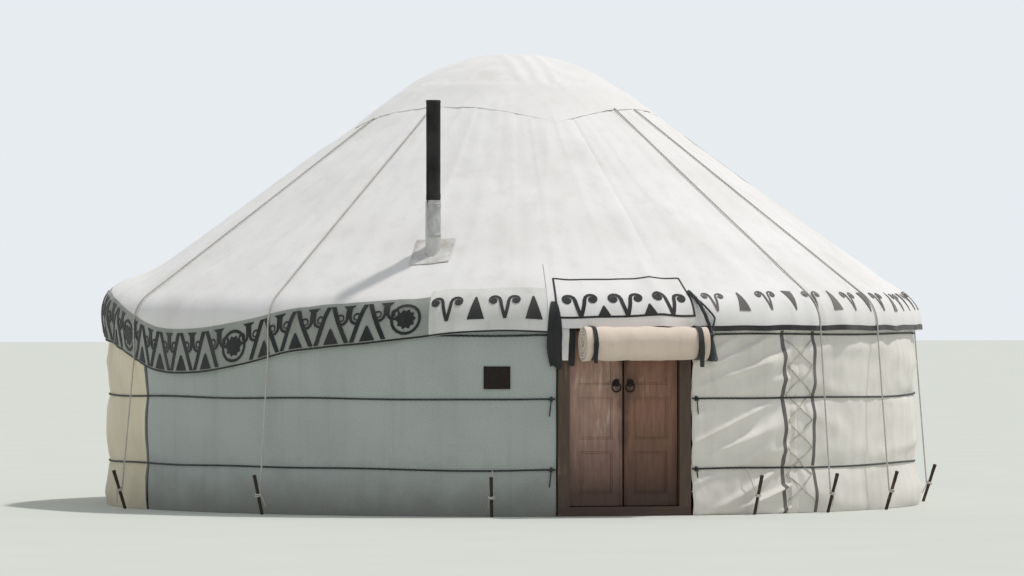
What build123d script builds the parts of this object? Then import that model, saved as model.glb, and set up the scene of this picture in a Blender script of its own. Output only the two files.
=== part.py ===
from build123d import *
import math
import os

os.makedirs("parts", exist_ok=True)

# A felt yurt under white canvas: round lattice wall, poles up to a crown ring, covers, ropes
# and a double wooden door. Millimetres, +Z up, origin on the ground at the centre of the ring,
# door facing -Y. Angles count from the door, growing towards +X.

# Overall form. The lattice wall sets the size of all that stands on it and hangs over it.
lattice_inner_radius = 3160.0
lattice_height = 1500.0
roof_pitch = 36.0
eave_reach = 66.0
eave_rise = 74.0
hem_drop = 190.0
shoulder_tangent = 150.0
crown_rise = 344.0

# Clearances
touch = 0.3
seam_gap = 0.4
rope_gap = 0.5

# Door frame, seen from outside
frame_proud = 6.0
frame_depth = 80.0
frame_width = 1040.0
jamb_width = 90.0
sill_height = 70.0
lintel_height = 100.0

# Door leaves
leaf_thickness = 35.0
leaf_gap = 6.0
meeting_gap = 11.0
leaf_stile = 78.0
leaf_rail = 90.0
panel_rows = 3
panel_recess = 9.0

# Hinges and pulls
pivot_inset = 3.0
pivot_setback = 12.0
pin_radius = 5.5
pin_clearance = 0.3
eye_radius = 10.0
eye_height = 40.0
pin_proud = 4.0
knuckle_height = 24.0
strap_thickness = 4.0
strap_length = 200.0
pintle_reach = 60.0
hinge_inset = 174.0
hinge_head_room = 264.0
pull_height = 1000.0
pull_inset = 48.0
pull_plate_radius = 30.0
pull_plate_thickness = 3.0
pull_ring_radius = 34.0
pull_ring_bar = 4.5
pull_boss_radius = 7.0

# Lattice wall
lattice_thickness = 24.0
lattice_sections = 24
lattice_columns = 3
sections_per_node = 4
lattice_rows = 5
lath_width = 30.0

# Roof poles
pole_radius = 18.0
pole_foot_drop = 160.0
pole_bend_radius = 150.0
lintel_poles = 3
pole_groups = 5

# Crown ring and its bent bars
ring_outer_radius = 870.0
ring_width = 90.0
ring_height = 90.0
ring_chamfer = 10.0
ring_cover_gap = 2.0
bar_width = 26.0
bar_thickness = 24.0
bar_spacing = 140.0
bar_offsets = (-1, 0, 1)

# Covers
wall_cover_thickness = 23.7
wall_bulge = 20.0
wall_cover_drop = 10.0
roof_cover_thickness = 25.0
roof_gores = 24
gores_per_node = 4
roof_edge_gap = 20.0
band_thickness = 3.0
band_reach = 130.0
band_door_margin = 40.0
crown_cover_thickness = 12.0
crown_crease_reach = 80.0
crown_skirt_width = 150.0
notch_margin = 20.0

# Ropes and pegs
wall_rope_radius = 8.0
wall_rope_heights = (350.0, 880.0)
top_rope_drop = 140.0
tie_rope_radius = 7.0
tie_rope_angles = (31.0, 45.0, 80.0, 130.0, 180.0, 230.0, 280.0, 310.0)
tie_bend_radius = 500.0
peg_angles = (-18.0, 18.0)
peg_radius = 14.0
peg_height = 300.0
peg_lean = 18.0
peg_stand_off = 80.0
peg_tie_height = 150.0
short_tie_radius = 5.0
short_tie_gap = 4.2
short_tie_end_gap = 4.0

# Door curtain, rolled up over the door
curtain_radius = 135.0
curtain_length = 1000.0
curtain_drop = 200.0
curtain_offset = 100.0
curtain_flap_thickness = 4.0
curtain_flap_lap = 40.0
curtain_flap_reach = 450.0
tie_strap_width = 30.0
tie_strap_thickness = 4.0
tie_strap_inset = 20.0
tie_strap_drop = 20.0
loose_strap_inset = 40.0
loose_strap_width = 70.0
loose_strap_hang = 130.0

# Stove pipe
pipe_bay = 4
pipe_distance = 2650.0
pipe_radius = 55.0
pipe_wall = 1.5
pipe_rise = 1130.0
pipe_joint_rise = 370.0
pipe_lap = 60.0
pipe_drop = 160.0
pipe_hole_clearance = 4.0
flashing_size = 300.0
flashing_thickness = 3.0
flashing_collar = 70.0

# Bare plate on the wall beside the door
plate_angle = -17.4
plate_width = 200.0
plate_height = 170.0
plate_thickness = 4.0
plate_centre = 1040.0

# Values that follow from the ones above
pitch = math.radians(roof_pitch)
shoulder_turn = 90.0 - roof_pitch
shoulder_radius = shoulder_tangent / math.tan(math.radians(shoulder_turn / 2))
lattice_outer_radius = lattice_inner_radius + lattice_thickness
eave_radius = lattice_outer_radius + eave_reach
eave_corner_height = lattice_height + eave_rise
hem_height = eave_corner_height - hem_drop
shoulder_centre = (eave_radius - shoulder_radius, eave_corner_height - shoulder_tangent)
frame_front = lattice_outer_radius + frame_proud
frame_back = frame_front - frame_depth
lintel_top = lattice_height
lintel_bottom = lintel_top - lintel_height
door_half_width = frame_width / 2 - jamb_width
pivot_x = door_half_width - pivot_inset
pivot_y = -frame_back + pivot_setback
door_half_angle = math.degrees(math.asin((frame_width / 2 + touch) / lattice_inner_radius))
section_angle = (360.0 - 2 * door_half_angle) / lattice_sections
pole_pitch = section_angle / lattice_columns
wall_waist_radius = lattice_outer_radius + touch + wall_cover_thickness
roof_depth = band_thickness + touch
pole_depth = roof_depth + roof_cover_thickness + touch + pole_radius
pole_foot_radius = lattice_inner_radius - touch - pole_radius
pole_foot_bottom = lattice_height - pole_foot_drop
wall_cover_height = lattice_height - wall_cover_drop
wall_rope_heights = wall_rope_heights + (lattice_height - top_rope_drop,)
peg_foot_radius = eave_radius + peg_stand_off
roof_edge_radius = ring_outer_radius + roof_edge_gap
crown_crease_radius = ring_outer_radius + crown_crease_reach
crown_skirt_radius = crown_crease_radius + crown_skirt_width
band_top_radius = eave_radius - band_reach
band_door_half_width = frame_width / 2 + band_door_margin
curtain_flap_half_width = band_door_half_width + curtain_flap_lap
curtain_flap_top_radius = eave_radius - curtain_flap_reach
curtain_height = lintel_top - curtain_drop
curtain_y = -(frame_front + 2 * touch + tie_strap_thickness + curtain_radius)
tie_strap_offset = frame_width / 2 - tie_strap_inset - curtain_offset
tie_strap_top = lintel_top - tie_strap_drop
loose_strap_offset = frame_width / 2 - loose_strap_inset
loose_strap_bottom = curtain_height - loose_strap_hang
pipe_angle = -(door_half_angle + pipe_bay * pole_pitch)
base_inner_radius = pipe_radius + touch
base_outer_radius = base_inner_radius + pipe_wall


def slope_height(radius, depth=0.0):
    """Height of the roof slope at a radius, at a depth under the face of the eave band."""
    rise = (eave_radius - radius) * math.tan(pitch)
    return eave_corner_height + rise - depth / math.cos(pitch)


def turned(shape, angle):
    """Turns a shape drawn towards +X so that it faces an angle counted from the door."""
    return Rot(0, 0, angle - 90) * shape


def ring_sector(outline, start, sweep):
    """Turns a closed outline of (radius, height) edges about the centre, between two angles."""
    face = Plane.XZ * make_face(outline)
    return turned(revolve(face, Axis.Z, revolution_arc=sweep), start)


def gap_angle(gap, radius):
    """Angle that a gap takes up on a circle."""
    return math.degrees(gap / radius)


def rod(start, end, radius):
    """A straight round bar between two points."""
    run = Vector(*end) - Vector(*start)
    return Solid.make_cylinder(radius, run.length, Plane(origin=start, z_dir=run))


def swept(path, section):
    """A section carried along a path, square to its start."""
    return sweep(Plane(origin=path @ 0, z_dir=path % 0) * section, path=path)


def box(x, y, z):
    """A box from three (low, high) pairs."""
    size = Box(x[1] - x[0], y[1] - y[0], z[1] - z[0])
    return Pos((x[0] + x[1]) / 2, (y[0] + y[1]) / 2, (z[0] + z[1]) / 2) * size


def eave_outline(depth, bottom, top_radius):
    """Line up the hem, round the shoulder and up the slope, at a depth under the outer face."""
    reach = shoulder_radius - depth

    def on_arc(angle):
        turn = math.radians(angle)
        return (
            shoulder_centre[0] + reach * math.cos(turn),
            shoulder_centre[1] + reach * math.sin(turn),
        )

    low = (eave_radius - depth, bottom)
    arc = ThreePointArc(on_arc(0), on_arc(shoulder_turn / 2), on_arc(shoulder_turn))
    top = (top_radius, slope_height(top_radius, depth))
    return [Line(low, on_arc(0)), arc, Line(on_arc(shoulder_turn), top)]


def eave_layer(outer_depth, thickness, bottom, top_radius, start, sweep_angle):
    """A sector of a layer that hangs from the slope over the shoulder to a hem."""
    outside = eave_outline(outer_depth, bottom, top_radius)
    inside = eave_outline(outer_depth + thickness, bottom, top_radius)
    hem = Line(outside[0] @ 0, inside[0] @ 0)
    edge = Line(outside[-1] @ 1, inside[-1] @ 1)
    return ring_sector(outside + inside + [hem, edge], start, sweep_angle)


def dome(edge_radius, edge_height, top_height):
    """Radius of the sphere through an edge circle and a top point, and its centre's height."""
    rise = top_height - edge_height
    radius = (edge_radius**2 + rise**2) / (2 * rise)
    return radius, top_height - radius


def dome_height(sphere, radius):
    """Height of a dome's surface at a distance from the centre line."""
    return sphere[1] + math.sqrt(sphere[0] ** 2 - radius**2)


skirt_depth = roof_depth - touch
crown_crease_height = slope_height(crown_crease_radius, skirt_depth - crown_cover_thickness)
crown_height = crown_crease_height + crown_rise
crown_inner_top = crown_height - crown_cover_thickness
crown_outer_dome = dome(crown_crease_radius, crown_crease_height, crown_height)
crown_inner_dome = dome(
    crown_crease_radius, slope_height(crown_crease_radius, skirt_depth), crown_inner_top
)
ring_top = dome_height(crown_inner_dome, ring_outer_radius) - ring_cover_gap


# Levels of the hinges and of the stove pipe
hinge_heights = (
    sill_height + leaf_gap + hinge_inset,
    lintel_bottom - leaf_gap - hinge_head_room,
)
pipe_roof_height = slope_height(pipe_distance)
pipe_top = pipe_roof_height + pipe_rise
pipe_joint = pipe_roof_height + pipe_joint_rise
pipe_bottom = pipe_roof_height - pipe_drop


# Door frame
def door_sill():
    """Threshold board that joins the feet of the jambs and lies on the ground."""
    half = frame_width / 2
    return box((-half, half), (-frame_front, -frame_back), (0, sill_height))


def door_jambs():
    """The two posts, standing on the sill."""
    half = frame_width / 2
    post = box((door_half_width, half), (-frame_front, -frame_back), (sill_height, lintel_bottom))
    return [post, mirror(post, about=Plane.YZ)]


def door_lintel():
    """Head board on the jambs, which also carries three roof poles."""
    half = frame_width / 2
    return box((-half, half), (-frame_front, -frame_back), (lintel_bottom, lintel_top))


def door_pintles():
    """Iron hooks on the back of the jambs, each with an upright pin under and through an eye."""
    right = []
    for height in hinge_heights:
        low = height - touch - knuckle_height
        knuckle = Pos(pivot_x, pivot_y, low) * Cylinder(
            eye_radius, knuckle_height, align=(Align.CENTER, Align.CENTER, Align.MIN)
        )
        pin_length = knuckle_height + touch + eye_height + pin_proud
        pin = Pos(pivot_x, pivot_y, low) * Cylinder(
            pin_radius, pin_length, align=(Align.CENTER, Align.CENTER, Align.MIN)
        )
        arm = box(
            (pivot_x, pivot_x + pintle_reach),
            (-frame_back, -frame_back + strap_thickness),
            (low, low + knuckle_height),
        )
        right.append(knuckle + arm + pin)
    return right + [mirror(hook, about=Plane.YZ) for hook in right]


# Door leaves
leaf_bottom = sill_height + leaf_gap
leaf_top = lintel_bottom - leaf_gap
leaf_outer_x = door_half_width - leaf_gap
leaf_inner_x = meeting_gap / 2
leaf_front_y = -frame_back - leaf_thickness


def right_leaf():
    """One leaf with its panels set back on both faces between stiles and rails."""
    slab = box((leaf_inner_x, leaf_outer_x), (leaf_front_y, -frame_back), (leaf_bottom, leaf_top))
    panel_x = (leaf_inner_x + leaf_stile, leaf_outer_x - leaf_stile)
    clear_height = leaf_top - leaf_bottom - (panel_rows + 1) * leaf_rail
    panel_height = clear_height / panel_rows
    recesses = []
    for row in range(panel_rows):
        low = leaf_bottom + leaf_rail + row * (panel_height + leaf_rail)
        span = (low, low + panel_height)
        recesses.append(box(panel_x, (leaf_front_y, leaf_front_y + panel_recess), span))
        recesses.append(box(panel_x, (-frame_back - panel_recess, -frame_back), span))
    return slab - recesses


def right_leaf_iron():
    """Two strap hinges on the inner face and a ring pull on the outer face."""
    pieces = []
    for height in hinge_heights:
        eye = Pos(pivot_x, pivot_y, height) * Cylinder(
            eye_radius, eye_height, align=(Align.CENTER, Align.CENTER, Align.MIN)
        )
        strap = box(
            (pivot_x - strap_length, pivot_x),
            (-frame_back, -frame_back + strap_thickness),
            (height, height + eye_height),
        )
        bore = Pos(pivot_x, pivot_y, height) * Cylinder(
            pin_radius + pin_clearance, eye_height, align=(Align.CENTER, Align.CENTER, Align.MIN)
        )
        pieces.append(eye + strap - bore)
    pieces.append(ring_pull())
    return pieces


def ring_pull():
    """Round plate, a boss and the ring that hangs through it."""
    x = leaf_inner_x + pull_inset
    facing = Plane(origin=(x, leaf_front_y, pull_height), z_dir=(0, -1, 0))
    low = (Align.CENTER, Align.CENTER, Align.MIN)
    plate = facing * Cylinder(pull_plate_radius, pull_plate_thickness, align=low)
    boss_length = pull_plate_thickness + 2 * touch + 3 * pull_ring_bar
    boss = facing * Cylinder(pull_boss_radius, boss_length, align=low)
    ring_y = leaf_front_y - pull_plate_thickness - touch - pull_ring_bar
    hanging = Plane(origin=(x, ring_y, pull_height - pull_ring_radius), z_dir=(0, -1, 0))
    ring = hanging * Torus(pull_ring_radius, pull_ring_bar)
    return plate + boss + ring


def mirrored(pieces):
    """The same pieces for the other side of the door."""
    return [mirror(piece, about=Plane.YZ) for piece in pieces]


# Lattice
def diamond_cutter(angle, height):
    """Radial prism that opens one mesh of the lattice."""
    half_pitch = lattice_inner_radius * math.radians(pole_pitch) / 2
    half_rise = lattice_height / lattice_rows / 2
    to_lath = half_pitch * half_rise / math.hypot(half_pitch, half_rise)
    scale = 1 - lath_width / 2 / to_lath
    across = half_pitch * scale
    up = half_rise * scale
    origin = (lattice_inner_radius - lattice_thickness, 0, height)
    plane = Plane(origin=origin, x_dir=(0, 1, 0), z_dir=(1, 0, 0))
    corners = Polygon((-across, 0), (0, -up), (across, 0), (0, up), align=None)
    return turned(extrude(plane * corners, 3 * lattice_thickness), angle)


def lattice_section():
    """One folding section of crossed laths, from angle 0 to one section on."""
    inner = lattice_inner_radius
    outer = lattice_outer_radius
    outline = Polyline((inner, 0), (outer, 0), (outer, lattice_height), (inner, lattice_height), close=True)
    half_gap = gap_angle(seam_gap, inner) / 2
    shell = ring_sector(outline.edges(), half_gap, section_angle - 2 * half_gap)
    half_rise = lattice_height / lattice_rows / 2
    cutters = []
    for level in range(2 * lattice_rows + 1):
        shift = 0.5 if level % 2 == 0 else 0.0
        count = lattice_columns if level % 2 == 0 else lattice_columns + 1
        for column in range(count):
            cutters.append(diamond_cutter((column + shift) * pole_pitch, level * half_rise))
    return shell.cut(*cutters)


# Roof frame
def roof_pole(foot_bottom):
    """A straight pole from the crown ring that bends down along the inside of the wall."""
    top = (ring_outer_radius, 0, slope_height(ring_outer_radius, pole_depth))
    knee = (pole_foot_radius, 0, slope_height(pole_foot_radius, pole_depth))
    foot = (pole_foot_radius, 0, foot_bottom)
    path = FilletPolyline(top, knee, foot, radius=pole_bend_radius)
    pole = swept(path, Circle(pole_radius))
    return pole - Cylinder(ring_outer_radius + touch, 3 * crown_height)


def all_roof_poles():
    """Wall poles between the lattice heads, then the poles over the lintel."""
    wall_pole = roof_pole(pole_foot_bottom)
    lintel_pole = roof_pole(lintel_top + touch)
    poles = []
    for index in range(lattice_sections * lattice_columns):
        poles.append(turned(wall_pole, door_half_angle + (index + 0.5) * pole_pitch))
    for index in range(lintel_poles):
        poles.append(turned(lintel_pole, (index - (lintel_poles - 1) / 2) * pole_pitch))
    return poles


def crown_ring():
    """Heavy bent ring that the poles push against."""
    inner = ring_outer_radius - ring_width
    low = ring_top - ring_height
    edge = ring_chamfer
    outline = Polyline(
        (inner + edge, low),
        (ring_outer_radius, low),
        (ring_outer_radius, ring_top),
        (inner + edge, ring_top),
        (inner, ring_top - edge),
        (inner, low + edge),
        close=True,
    )
    return ring_sector(outline.edges(), 0, 360)


def crown_bars():
    """Two crossing sets of bent bars that arch over the ring and carry the crown cover."""
    outer = crown_inner_dome[0] - touch
    centre = Pos(0, 0, crown_inner_dome[1])
    shell = centre * Sphere(outer) - centre * Sphere(outer - bar_thickness)
    span = ring_outer_radius - ring_chamfer
    height = (ring_top + touch, crown_height)
    bars = []
    for offset in bar_offsets:
        side = (offset * bar_spacing - bar_width / 2, offset * bar_spacing + bar_width / 2)
        bars.append(box(side, (-span, span), height))
        bars.append(box((-span, span), side, height))
    grid = bars[0].fuse(*bars[1:])
    reach = Cylinder(span, 3 * crown_height)
    return shell & grid & reach


# Covers
def wall_panel():
    """One panel of the wall cover, drawn in by the ropes and swelling between them."""
    inner = lattice_outer_radius + touch
    waist = wall_waist_radius
    edges = [Line((inner, 0), (waist, 0))]
    low = 0.0
    for height in wall_rope_heights:
        middle = (waist + wall_bulge, (low + height) / 2)
        edges.append(ThreePointArc((waist, low), middle, (waist, height)))
        low = height
    edges.append(Line((waist, low), (waist, wall_cover_height)))
    edges.append(Line((waist, wall_cover_height), (inner, wall_cover_height)))
    edges.append(Line((inner, wall_cover_height), (inner, 0)))
    half_gap = gap_angle(seam_gap, inner) / 2
    return ring_sector(edges, half_gap, section_angle - 2 * half_gap)


def roof_gore(index):
    """One gore of the roof cover, notched over the door and cut round the stove pipe."""
    gore_angle = 360.0 / roof_gores
    half_gap = gap_angle(seam_gap, roof_edge_radius) / 2
    start = (index - 0.5) * gore_angle
    gore = eave_layer(
        roof_depth,
        roof_cover_thickness,
        hem_height,
        roof_edge_radius,
        start + half_gap,
        gore_angle - 2 * half_gap,
    )
    notch = frame_width / 2 + notch_margin
    door_notch = box((-notch, notch), (-2 * eave_radius, 0), (0, lintel_top + touch))
    pipe_hole = pipe_shape(base_outer_radius + pipe_hole_clearance, 0, crown_height)
    return gore - door_notch - pipe_hole


def crown_cover():
    """Domed cover over the crown ring, lapping the top of the roof cover."""
    outer_depth = skirt_depth - crown_cover_thickness

    def arc(sphere):
        half = crown_crease_radius / 2
        edge = (crown_crease_radius, dome_height(sphere, crown_crease_radius))
        return ThreePointArc(edge, (half, dome_height(sphere, half)), (0, sphere[0] + sphere[1]))

    low_out = (crown_skirt_radius, slope_height(crown_skirt_radius, outer_depth))
    low_in = (crown_skirt_radius, slope_height(crown_skirt_radius, skirt_depth))
    outer_arc = arc(crown_outer_dome)
    inner_arc = arc(crown_inner_dome)
    edges = [
        Line(low_in, low_out),
        Line(low_out, outer_arc @ 0),
        outer_arc,
        Line(outer_arc @ 1, inner_arc @ 1),
        inner_arc,
        Line(inner_arc @ 0, low_in),
    ]
    return ring_sector(edges, 0, 360)


def eave_band():
    """Ornament band round the eave, open over the door."""
    half = math.degrees(math.asin(band_door_half_width / eave_radius))
    return eave_layer(0, band_thickness, hem_height, band_top_radius, half, 360 - 2 * half)


# Ropes and pegs
def wall_ropes():
    """Girth ropes that draw the wall cover in, tied off at the door posts."""
    ring = wall_waist_radius + rope_gap + wall_rope_radius
    half = math.degrees(math.asin((frame_width / 2 + wall_rope_radius) / ring))
    ropes = []
    for height in wall_rope_heights:
        section = Plane.XZ * Pos(ring, height) * Circle(wall_rope_radius)
        rope = revolve(section, Axis.Z, revolution_arc=360 - 2 * half)
        ropes.append(turned(rope, half))
    return ropes


def peg_face_radius(height):
    """Distance from the centre to a leaning peg's inner side at a height."""
    lean = math.radians(peg_lean)
    return peg_foot_radius + height * math.tan(lean) - peg_radius / math.cos(lean)


def tie_ropes():
    """Ropes from the crown cover over the eave to the pegs, and short ties beside the door."""
    depth = -(touch + tie_rope_radius)
    start_radius = crown_skirt_radius + touch + tie_rope_radius
    eave = eave_radius - depth
    end_radius = peg_face_radius(peg_tie_height) - touch - tie_rope_radius
    path = FilletPolyline(
        (start_radius, 0, slope_height(start_radius, depth)),
        (eave, 0, slope_height(eave, depth)),
        (eave, 0, hem_height),
        (end_radius, 0, peg_tie_height),
        radius=[shoulder_radius - depth, tie_bend_radius],
    )
    long_rope = swept(path, Circle(tie_rope_radius))
    top_height = wall_rope_heights[0]
    wall_face = wall_waist_radius + rope_gap + 2 * wall_rope_radius
    short_start = (wall_face + short_tie_gap, 0, top_height)
    short_end = (peg_face_radius(peg_tie_height) - short_tie_end_gap, 0, peg_tie_height)
    short_rope = rod(short_start, short_end, short_tie_radius)
    ropes = [turned(long_rope, angle) for angle in tie_rope_angles]
    return ropes + [turned(short_rope, angle) for angle in peg_angles]


def ground_pegs():
    """Stakes that lean outwards round the wall, one at the foot of each tie."""
    lean = math.radians(peg_lean)
    below = -peg_radius
    start = (peg_foot_radius + below * math.tan(lean), 0, below)
    end = (peg_foot_radius + peg_height * math.tan(lean), 0, peg_height)
    stake = rod(start, end, peg_radius)
    ground = box((0, 2 * eave_radius), (-peg_height, peg_height), (-peg_height, 0))
    stake = stake - ground
    return [turned(stake, angle) for angle in tie_rope_angles + peg_angles]


# Door curtain
def curtain_flap():
    """Upper part of the felt door curtain, lying on the roof and hanging over the lintel."""
    face = eave_radius + touch
    half = math.degrees(math.asin(curtain_flap_half_width / face))
    out = -curtain_y - face
    bottom = curtain_height + math.sqrt(curtain_radius**2 - (out - curtain_flap_thickness) ** 2)
    return eave_layer(
        -touch - curtain_flap_thickness,
        curtain_flap_thickness,
        bottom + touch,
        curtain_flap_top_radius,
        -half,
        2 * half,
    )


def curtain_roll():
    """Lower part of the curtain, rolled up and tied in front of the lintel."""
    axis = Plane(origin=(curtain_offset, curtain_y, curtain_height), z_dir=(1, 0, 0))
    return axis * Cylinder(curtain_radius, curtain_length)


def flat_strap(x, width, bottom):
    """A strap that hangs from the top of the lintel down the front of the door frame."""
    back = -(frame_front + touch)
    across = (x - width / 2, x + width / 2)
    return box(across, (back - tie_strap_thickness, back), (bottom, tie_strap_top))


def curtain_ties():
    """Two straps round the roll, fixed to the lintel, and a broad one that hangs loose."""
    inner = curtain_radius + touch
    outer = inner + tie_strap_thickness
    straps = [flat_strap(-loose_strap_offset, loose_strap_width, loose_strap_bottom)]
    for side in (-1, 1):
        x = curtain_offset + side * tie_strap_offset
        axis = Plane(origin=(x, curtain_y, curtain_height), z_dir=(1, 0, 0))
        loop = axis * (Cylinder(outer, tie_strap_width) - Cylinder(inner, tie_strap_width))
        straps.append(loop + flat_strap(x, tie_strap_width, curtain_height))
    return straps


# Stove pipe
def pipe_shape(radius, low, high):
    """Upright cylinder on the stove pipe's centre line."""
    pipe = Cylinder(radius, high - low, align=(Align.CENTER, Align.CENTER, Align.MIN))
    return turned(Pos(pipe_distance, 0, low) * pipe, pipe_angle)


def stove_pipe():
    """Upper length of the pipe, blackened, pushed into the lower one."""
    low = pipe_joint - pipe_lap
    return pipe_shape(pipe_radius, low, pipe_top) - pipe_shape(pipe_radius - pipe_wall, low, pipe_top)


def pipe_base():
    """Lower length of galvanised pipe, coming up through the roof."""
    outer = pipe_shape(base_outer_radius, pipe_bottom, pipe_joint)
    return outer - pipe_shape(base_inner_radius, pipe_bottom, pipe_joint)


def pipe_flashing():
    """Sheet on the roof slope with a collar round the pipe."""
    under = roof_depth - touch
    centre = (pipe_distance, 0, slope_height(pipe_distance, under))
    slope = Plane(origin=centre, x_dir=(0, 1, 0), z_dir=(math.sin(pitch), 0, math.cos(pitch)))
    low = (Align.CENTER, Align.CENTER, Align.MIN)
    sheet = turned(slope * Box(flashing_size, flashing_size, flashing_thickness, align=low), pipe_angle)
    high = (Align.CENTER, Align.CENTER, Align.MAX)
    below = turned(slope * Box(flashing_size, flashing_size, flashing_size, align=high), pipe_angle)
    bore_radius = base_outer_radius + touch
    top = centre[2] + flashing_collar
    collar = pipe_shape(bore_radius + flashing_thickness, centre[2] - flashing_collar, top)
    bore = pipe_shape(bore_radius, 0, crown_height)
    return sheet + collar - bore - below


def wall_plate():
    """Small square plate, left bare, fixed on the wall cover beside the door."""
    face = wall_waist_radius + wall_bulge + touch
    half = plate_width / 2
    low = plate_centre - plate_height / 2
    plate = box((face, face + plate_thickness), (-half, half), (low, low + plate_height))
    return turned(plate, plate_angle)


def save(name, pieces):
    """Writes one node, of one solid or of several that don't touch."""
    solids = []
    for piece in pieces:
        solids.extend(piece.solids())
    shape = solids[0] if len(solids) == 1 else Compound(children=solids)
    export_step(shape, f"parts/{name}.step")
    print(name, len(solids))


save("door_sill", [door_sill()])
save("door_jambs", door_jambs())
save("door_lintel", [door_lintel()])
save("door_pintles", door_pintles())
save("door_leaf_right", [right_leaf()])
save("door_leaf_left", mirrored([right_leaf()]))
save("leaf_iron_right", right_leaf_iron())
save("leaf_iron_left", mirrored(right_leaf_iron()))

lattice = lattice_section()
panel = wall_panel()
for number in range(lattice_sections // sections_per_node):
    first = number * sections_per_node
    starts = [door_half_angle + (first + k) * section_angle for k in range(sections_per_node)]
    save(f"lattice_{number + 1}", [Rot(0, 0, start) * lattice for start in starts])
    save(f"wall_cover_{number + 1}", [Rot(0, 0, start) * panel for start in starts])

poles = all_roof_poles()
for number in range(pole_groups):
    share = len(poles) // pole_groups
    save(f"roof_poles_{number + 1}", poles[number * share : (number + 1) * share])

for number in range(roof_gores // gores_per_node):
    first = number * gores_per_node
    save(f"roof_cover_{number + 1}", [roof_gore(first + k) for k in range(gores_per_node)])

save("crown_ring", [crown_ring()])
save("crown_bars", [crown_bars()])
save("crown_cover", [crown_cover()])
save("eave_band", [eave_band()])
save("wall_ropes", wall_ropes())
save("tie_ropes", tie_ropes())
save("ground_pegs", ground_pegs())
save("curtain_flap", [curtain_flap()])
save("curtain_roll", [curtain_roll()])
save("curtain_ties", curtain_ties())
save("stove_pipe", [stove_pipe()])
save("pipe_base", [pipe_base()])
save("pipe_flashing", [pipe_flashing()])
save("wall_plate", [wall_plate()])
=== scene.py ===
# %% [markdown]
# A felt yurt under white canvas, dressed around its imported frame. The frame holds the lattice
# wall, the roof poles, the crown and the door at their real sizes, in metres, with the door
# facing -Y. Everything soft is made here: covers, eave band, ropes and the rolled door curtain.

import math

import bpy
import numpy as np
from mathutils import Matrix, Vector


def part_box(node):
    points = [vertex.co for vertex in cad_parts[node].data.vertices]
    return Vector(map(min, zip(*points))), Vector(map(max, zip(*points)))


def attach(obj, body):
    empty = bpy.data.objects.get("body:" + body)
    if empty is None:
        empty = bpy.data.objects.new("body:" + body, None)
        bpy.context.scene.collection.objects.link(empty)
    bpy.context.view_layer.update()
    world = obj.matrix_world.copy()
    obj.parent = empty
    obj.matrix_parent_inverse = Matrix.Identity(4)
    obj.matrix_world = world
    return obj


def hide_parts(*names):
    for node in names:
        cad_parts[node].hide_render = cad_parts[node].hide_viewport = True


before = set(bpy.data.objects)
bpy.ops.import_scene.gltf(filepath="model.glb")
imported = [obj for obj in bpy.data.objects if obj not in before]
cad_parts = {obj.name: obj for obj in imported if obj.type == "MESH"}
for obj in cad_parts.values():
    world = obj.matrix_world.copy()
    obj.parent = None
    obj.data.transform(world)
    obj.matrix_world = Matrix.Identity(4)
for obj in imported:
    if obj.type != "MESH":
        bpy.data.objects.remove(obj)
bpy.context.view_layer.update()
bpy.ops.object.select_all(action="DESELECT")

# %% [markdown]
# The covers hang over one shape: up the hem, round the shoulder where the poles bend, and up the
# slope to the crown. It could be drawn point by point, but a straight run, one arc and another
# straight run say it exactly, and each size comes from the frame or from the frame's own drawing.

# %% Sizes of the roof's section
eave_low, eave_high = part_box("eave_band")
eave_radius = eave_high.x
hem_height = eave_low.z
pitch = math.radians(36)
shoulder_tangent = 0.150
hem_drop = 0.190
shoulder_turn = math.pi / 2 - pitch
shoulder_radius = shoulder_tangent / math.tan(shoulder_turn / 2)
shoulder_centre = (eave_radius - shoulder_radius, hem_height + hem_drop - shoulder_tangent)
upright = hem_drop - shoulder_tangent
slope_start_radius = shoulder_centre[0] + shoulder_radius * math.cos(shoulder_turn)
slope_start = upright + shoulder_radius * shoulder_turn


def roof_line(distance, lift=0.0):
    """Radius and height of points up the roof's section, counted from the hem."""
    turn = np.clip((distance - upright) / shoulder_radius, 0, shoulder_turn)
    straight = distance - upright - shoulder_radius * turn
    reach = shoulder_radius + lift
    radius = shoulder_centre[0] + reach * np.cos(turn) - straight * np.sin(turn)
    height = shoulder_centre[1] + reach * np.sin(turn) + straight * np.cos(turn)
    return radius, height


def distance_at(radius):
    """How far up from the hem the slope is at a radius."""
    return slope_start + (slope_start_radius - radius) / math.cos(pitch)


print("eave radius", round(eave_radius, 3), "slope from", round(slope_start, 3), "m above the hem")

# %% [markdown]
# Angles are counted in degrees from the door, growing towards +X, because that is how the frame
# was set out. Points for whole meshes are worked out at once, as arrays.

# %% Places round the yurt
def xyz(x, y, z):
    """Points from their three coordinates, each an array or one number."""
    return np.stack(np.broadcast_arrays(x, y, z), axis=-1)


def around(angle, radius, height):
    """Points at angles from the door, distances from the middle and heights."""
    turn = np.radians(angle)
    return xyz(radius * np.sin(turn), -radius * np.cos(turn), height)


def bell(offset, width):
    """1 at no offset, falling smoothly to nothing past about two widths."""
    return np.exp(-((offset / width) ** 2))


def eased(share):
    """A share from 0 to 1 that starts and ends gently."""
    return share * share * (3 - 2 * share)


def angle_from(angle, middle):
    """Signed angle from a middle direction, between -180 and 180 degrees."""
    return (np.asarray(angle) - middle + 180) % 360 - 180


print("the eave over the door is at", around(0, eave_radius, hem_height).round(3))

# %% [markdown]
# Cloth is never smooth. Its unevenness could come from a Displace modifier, but a modifier can't
# know where the ropes and poles are. So waves of random heading are added up here, with fixed
# seeds, and creases are the places where such a sum passes through zero.

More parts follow.
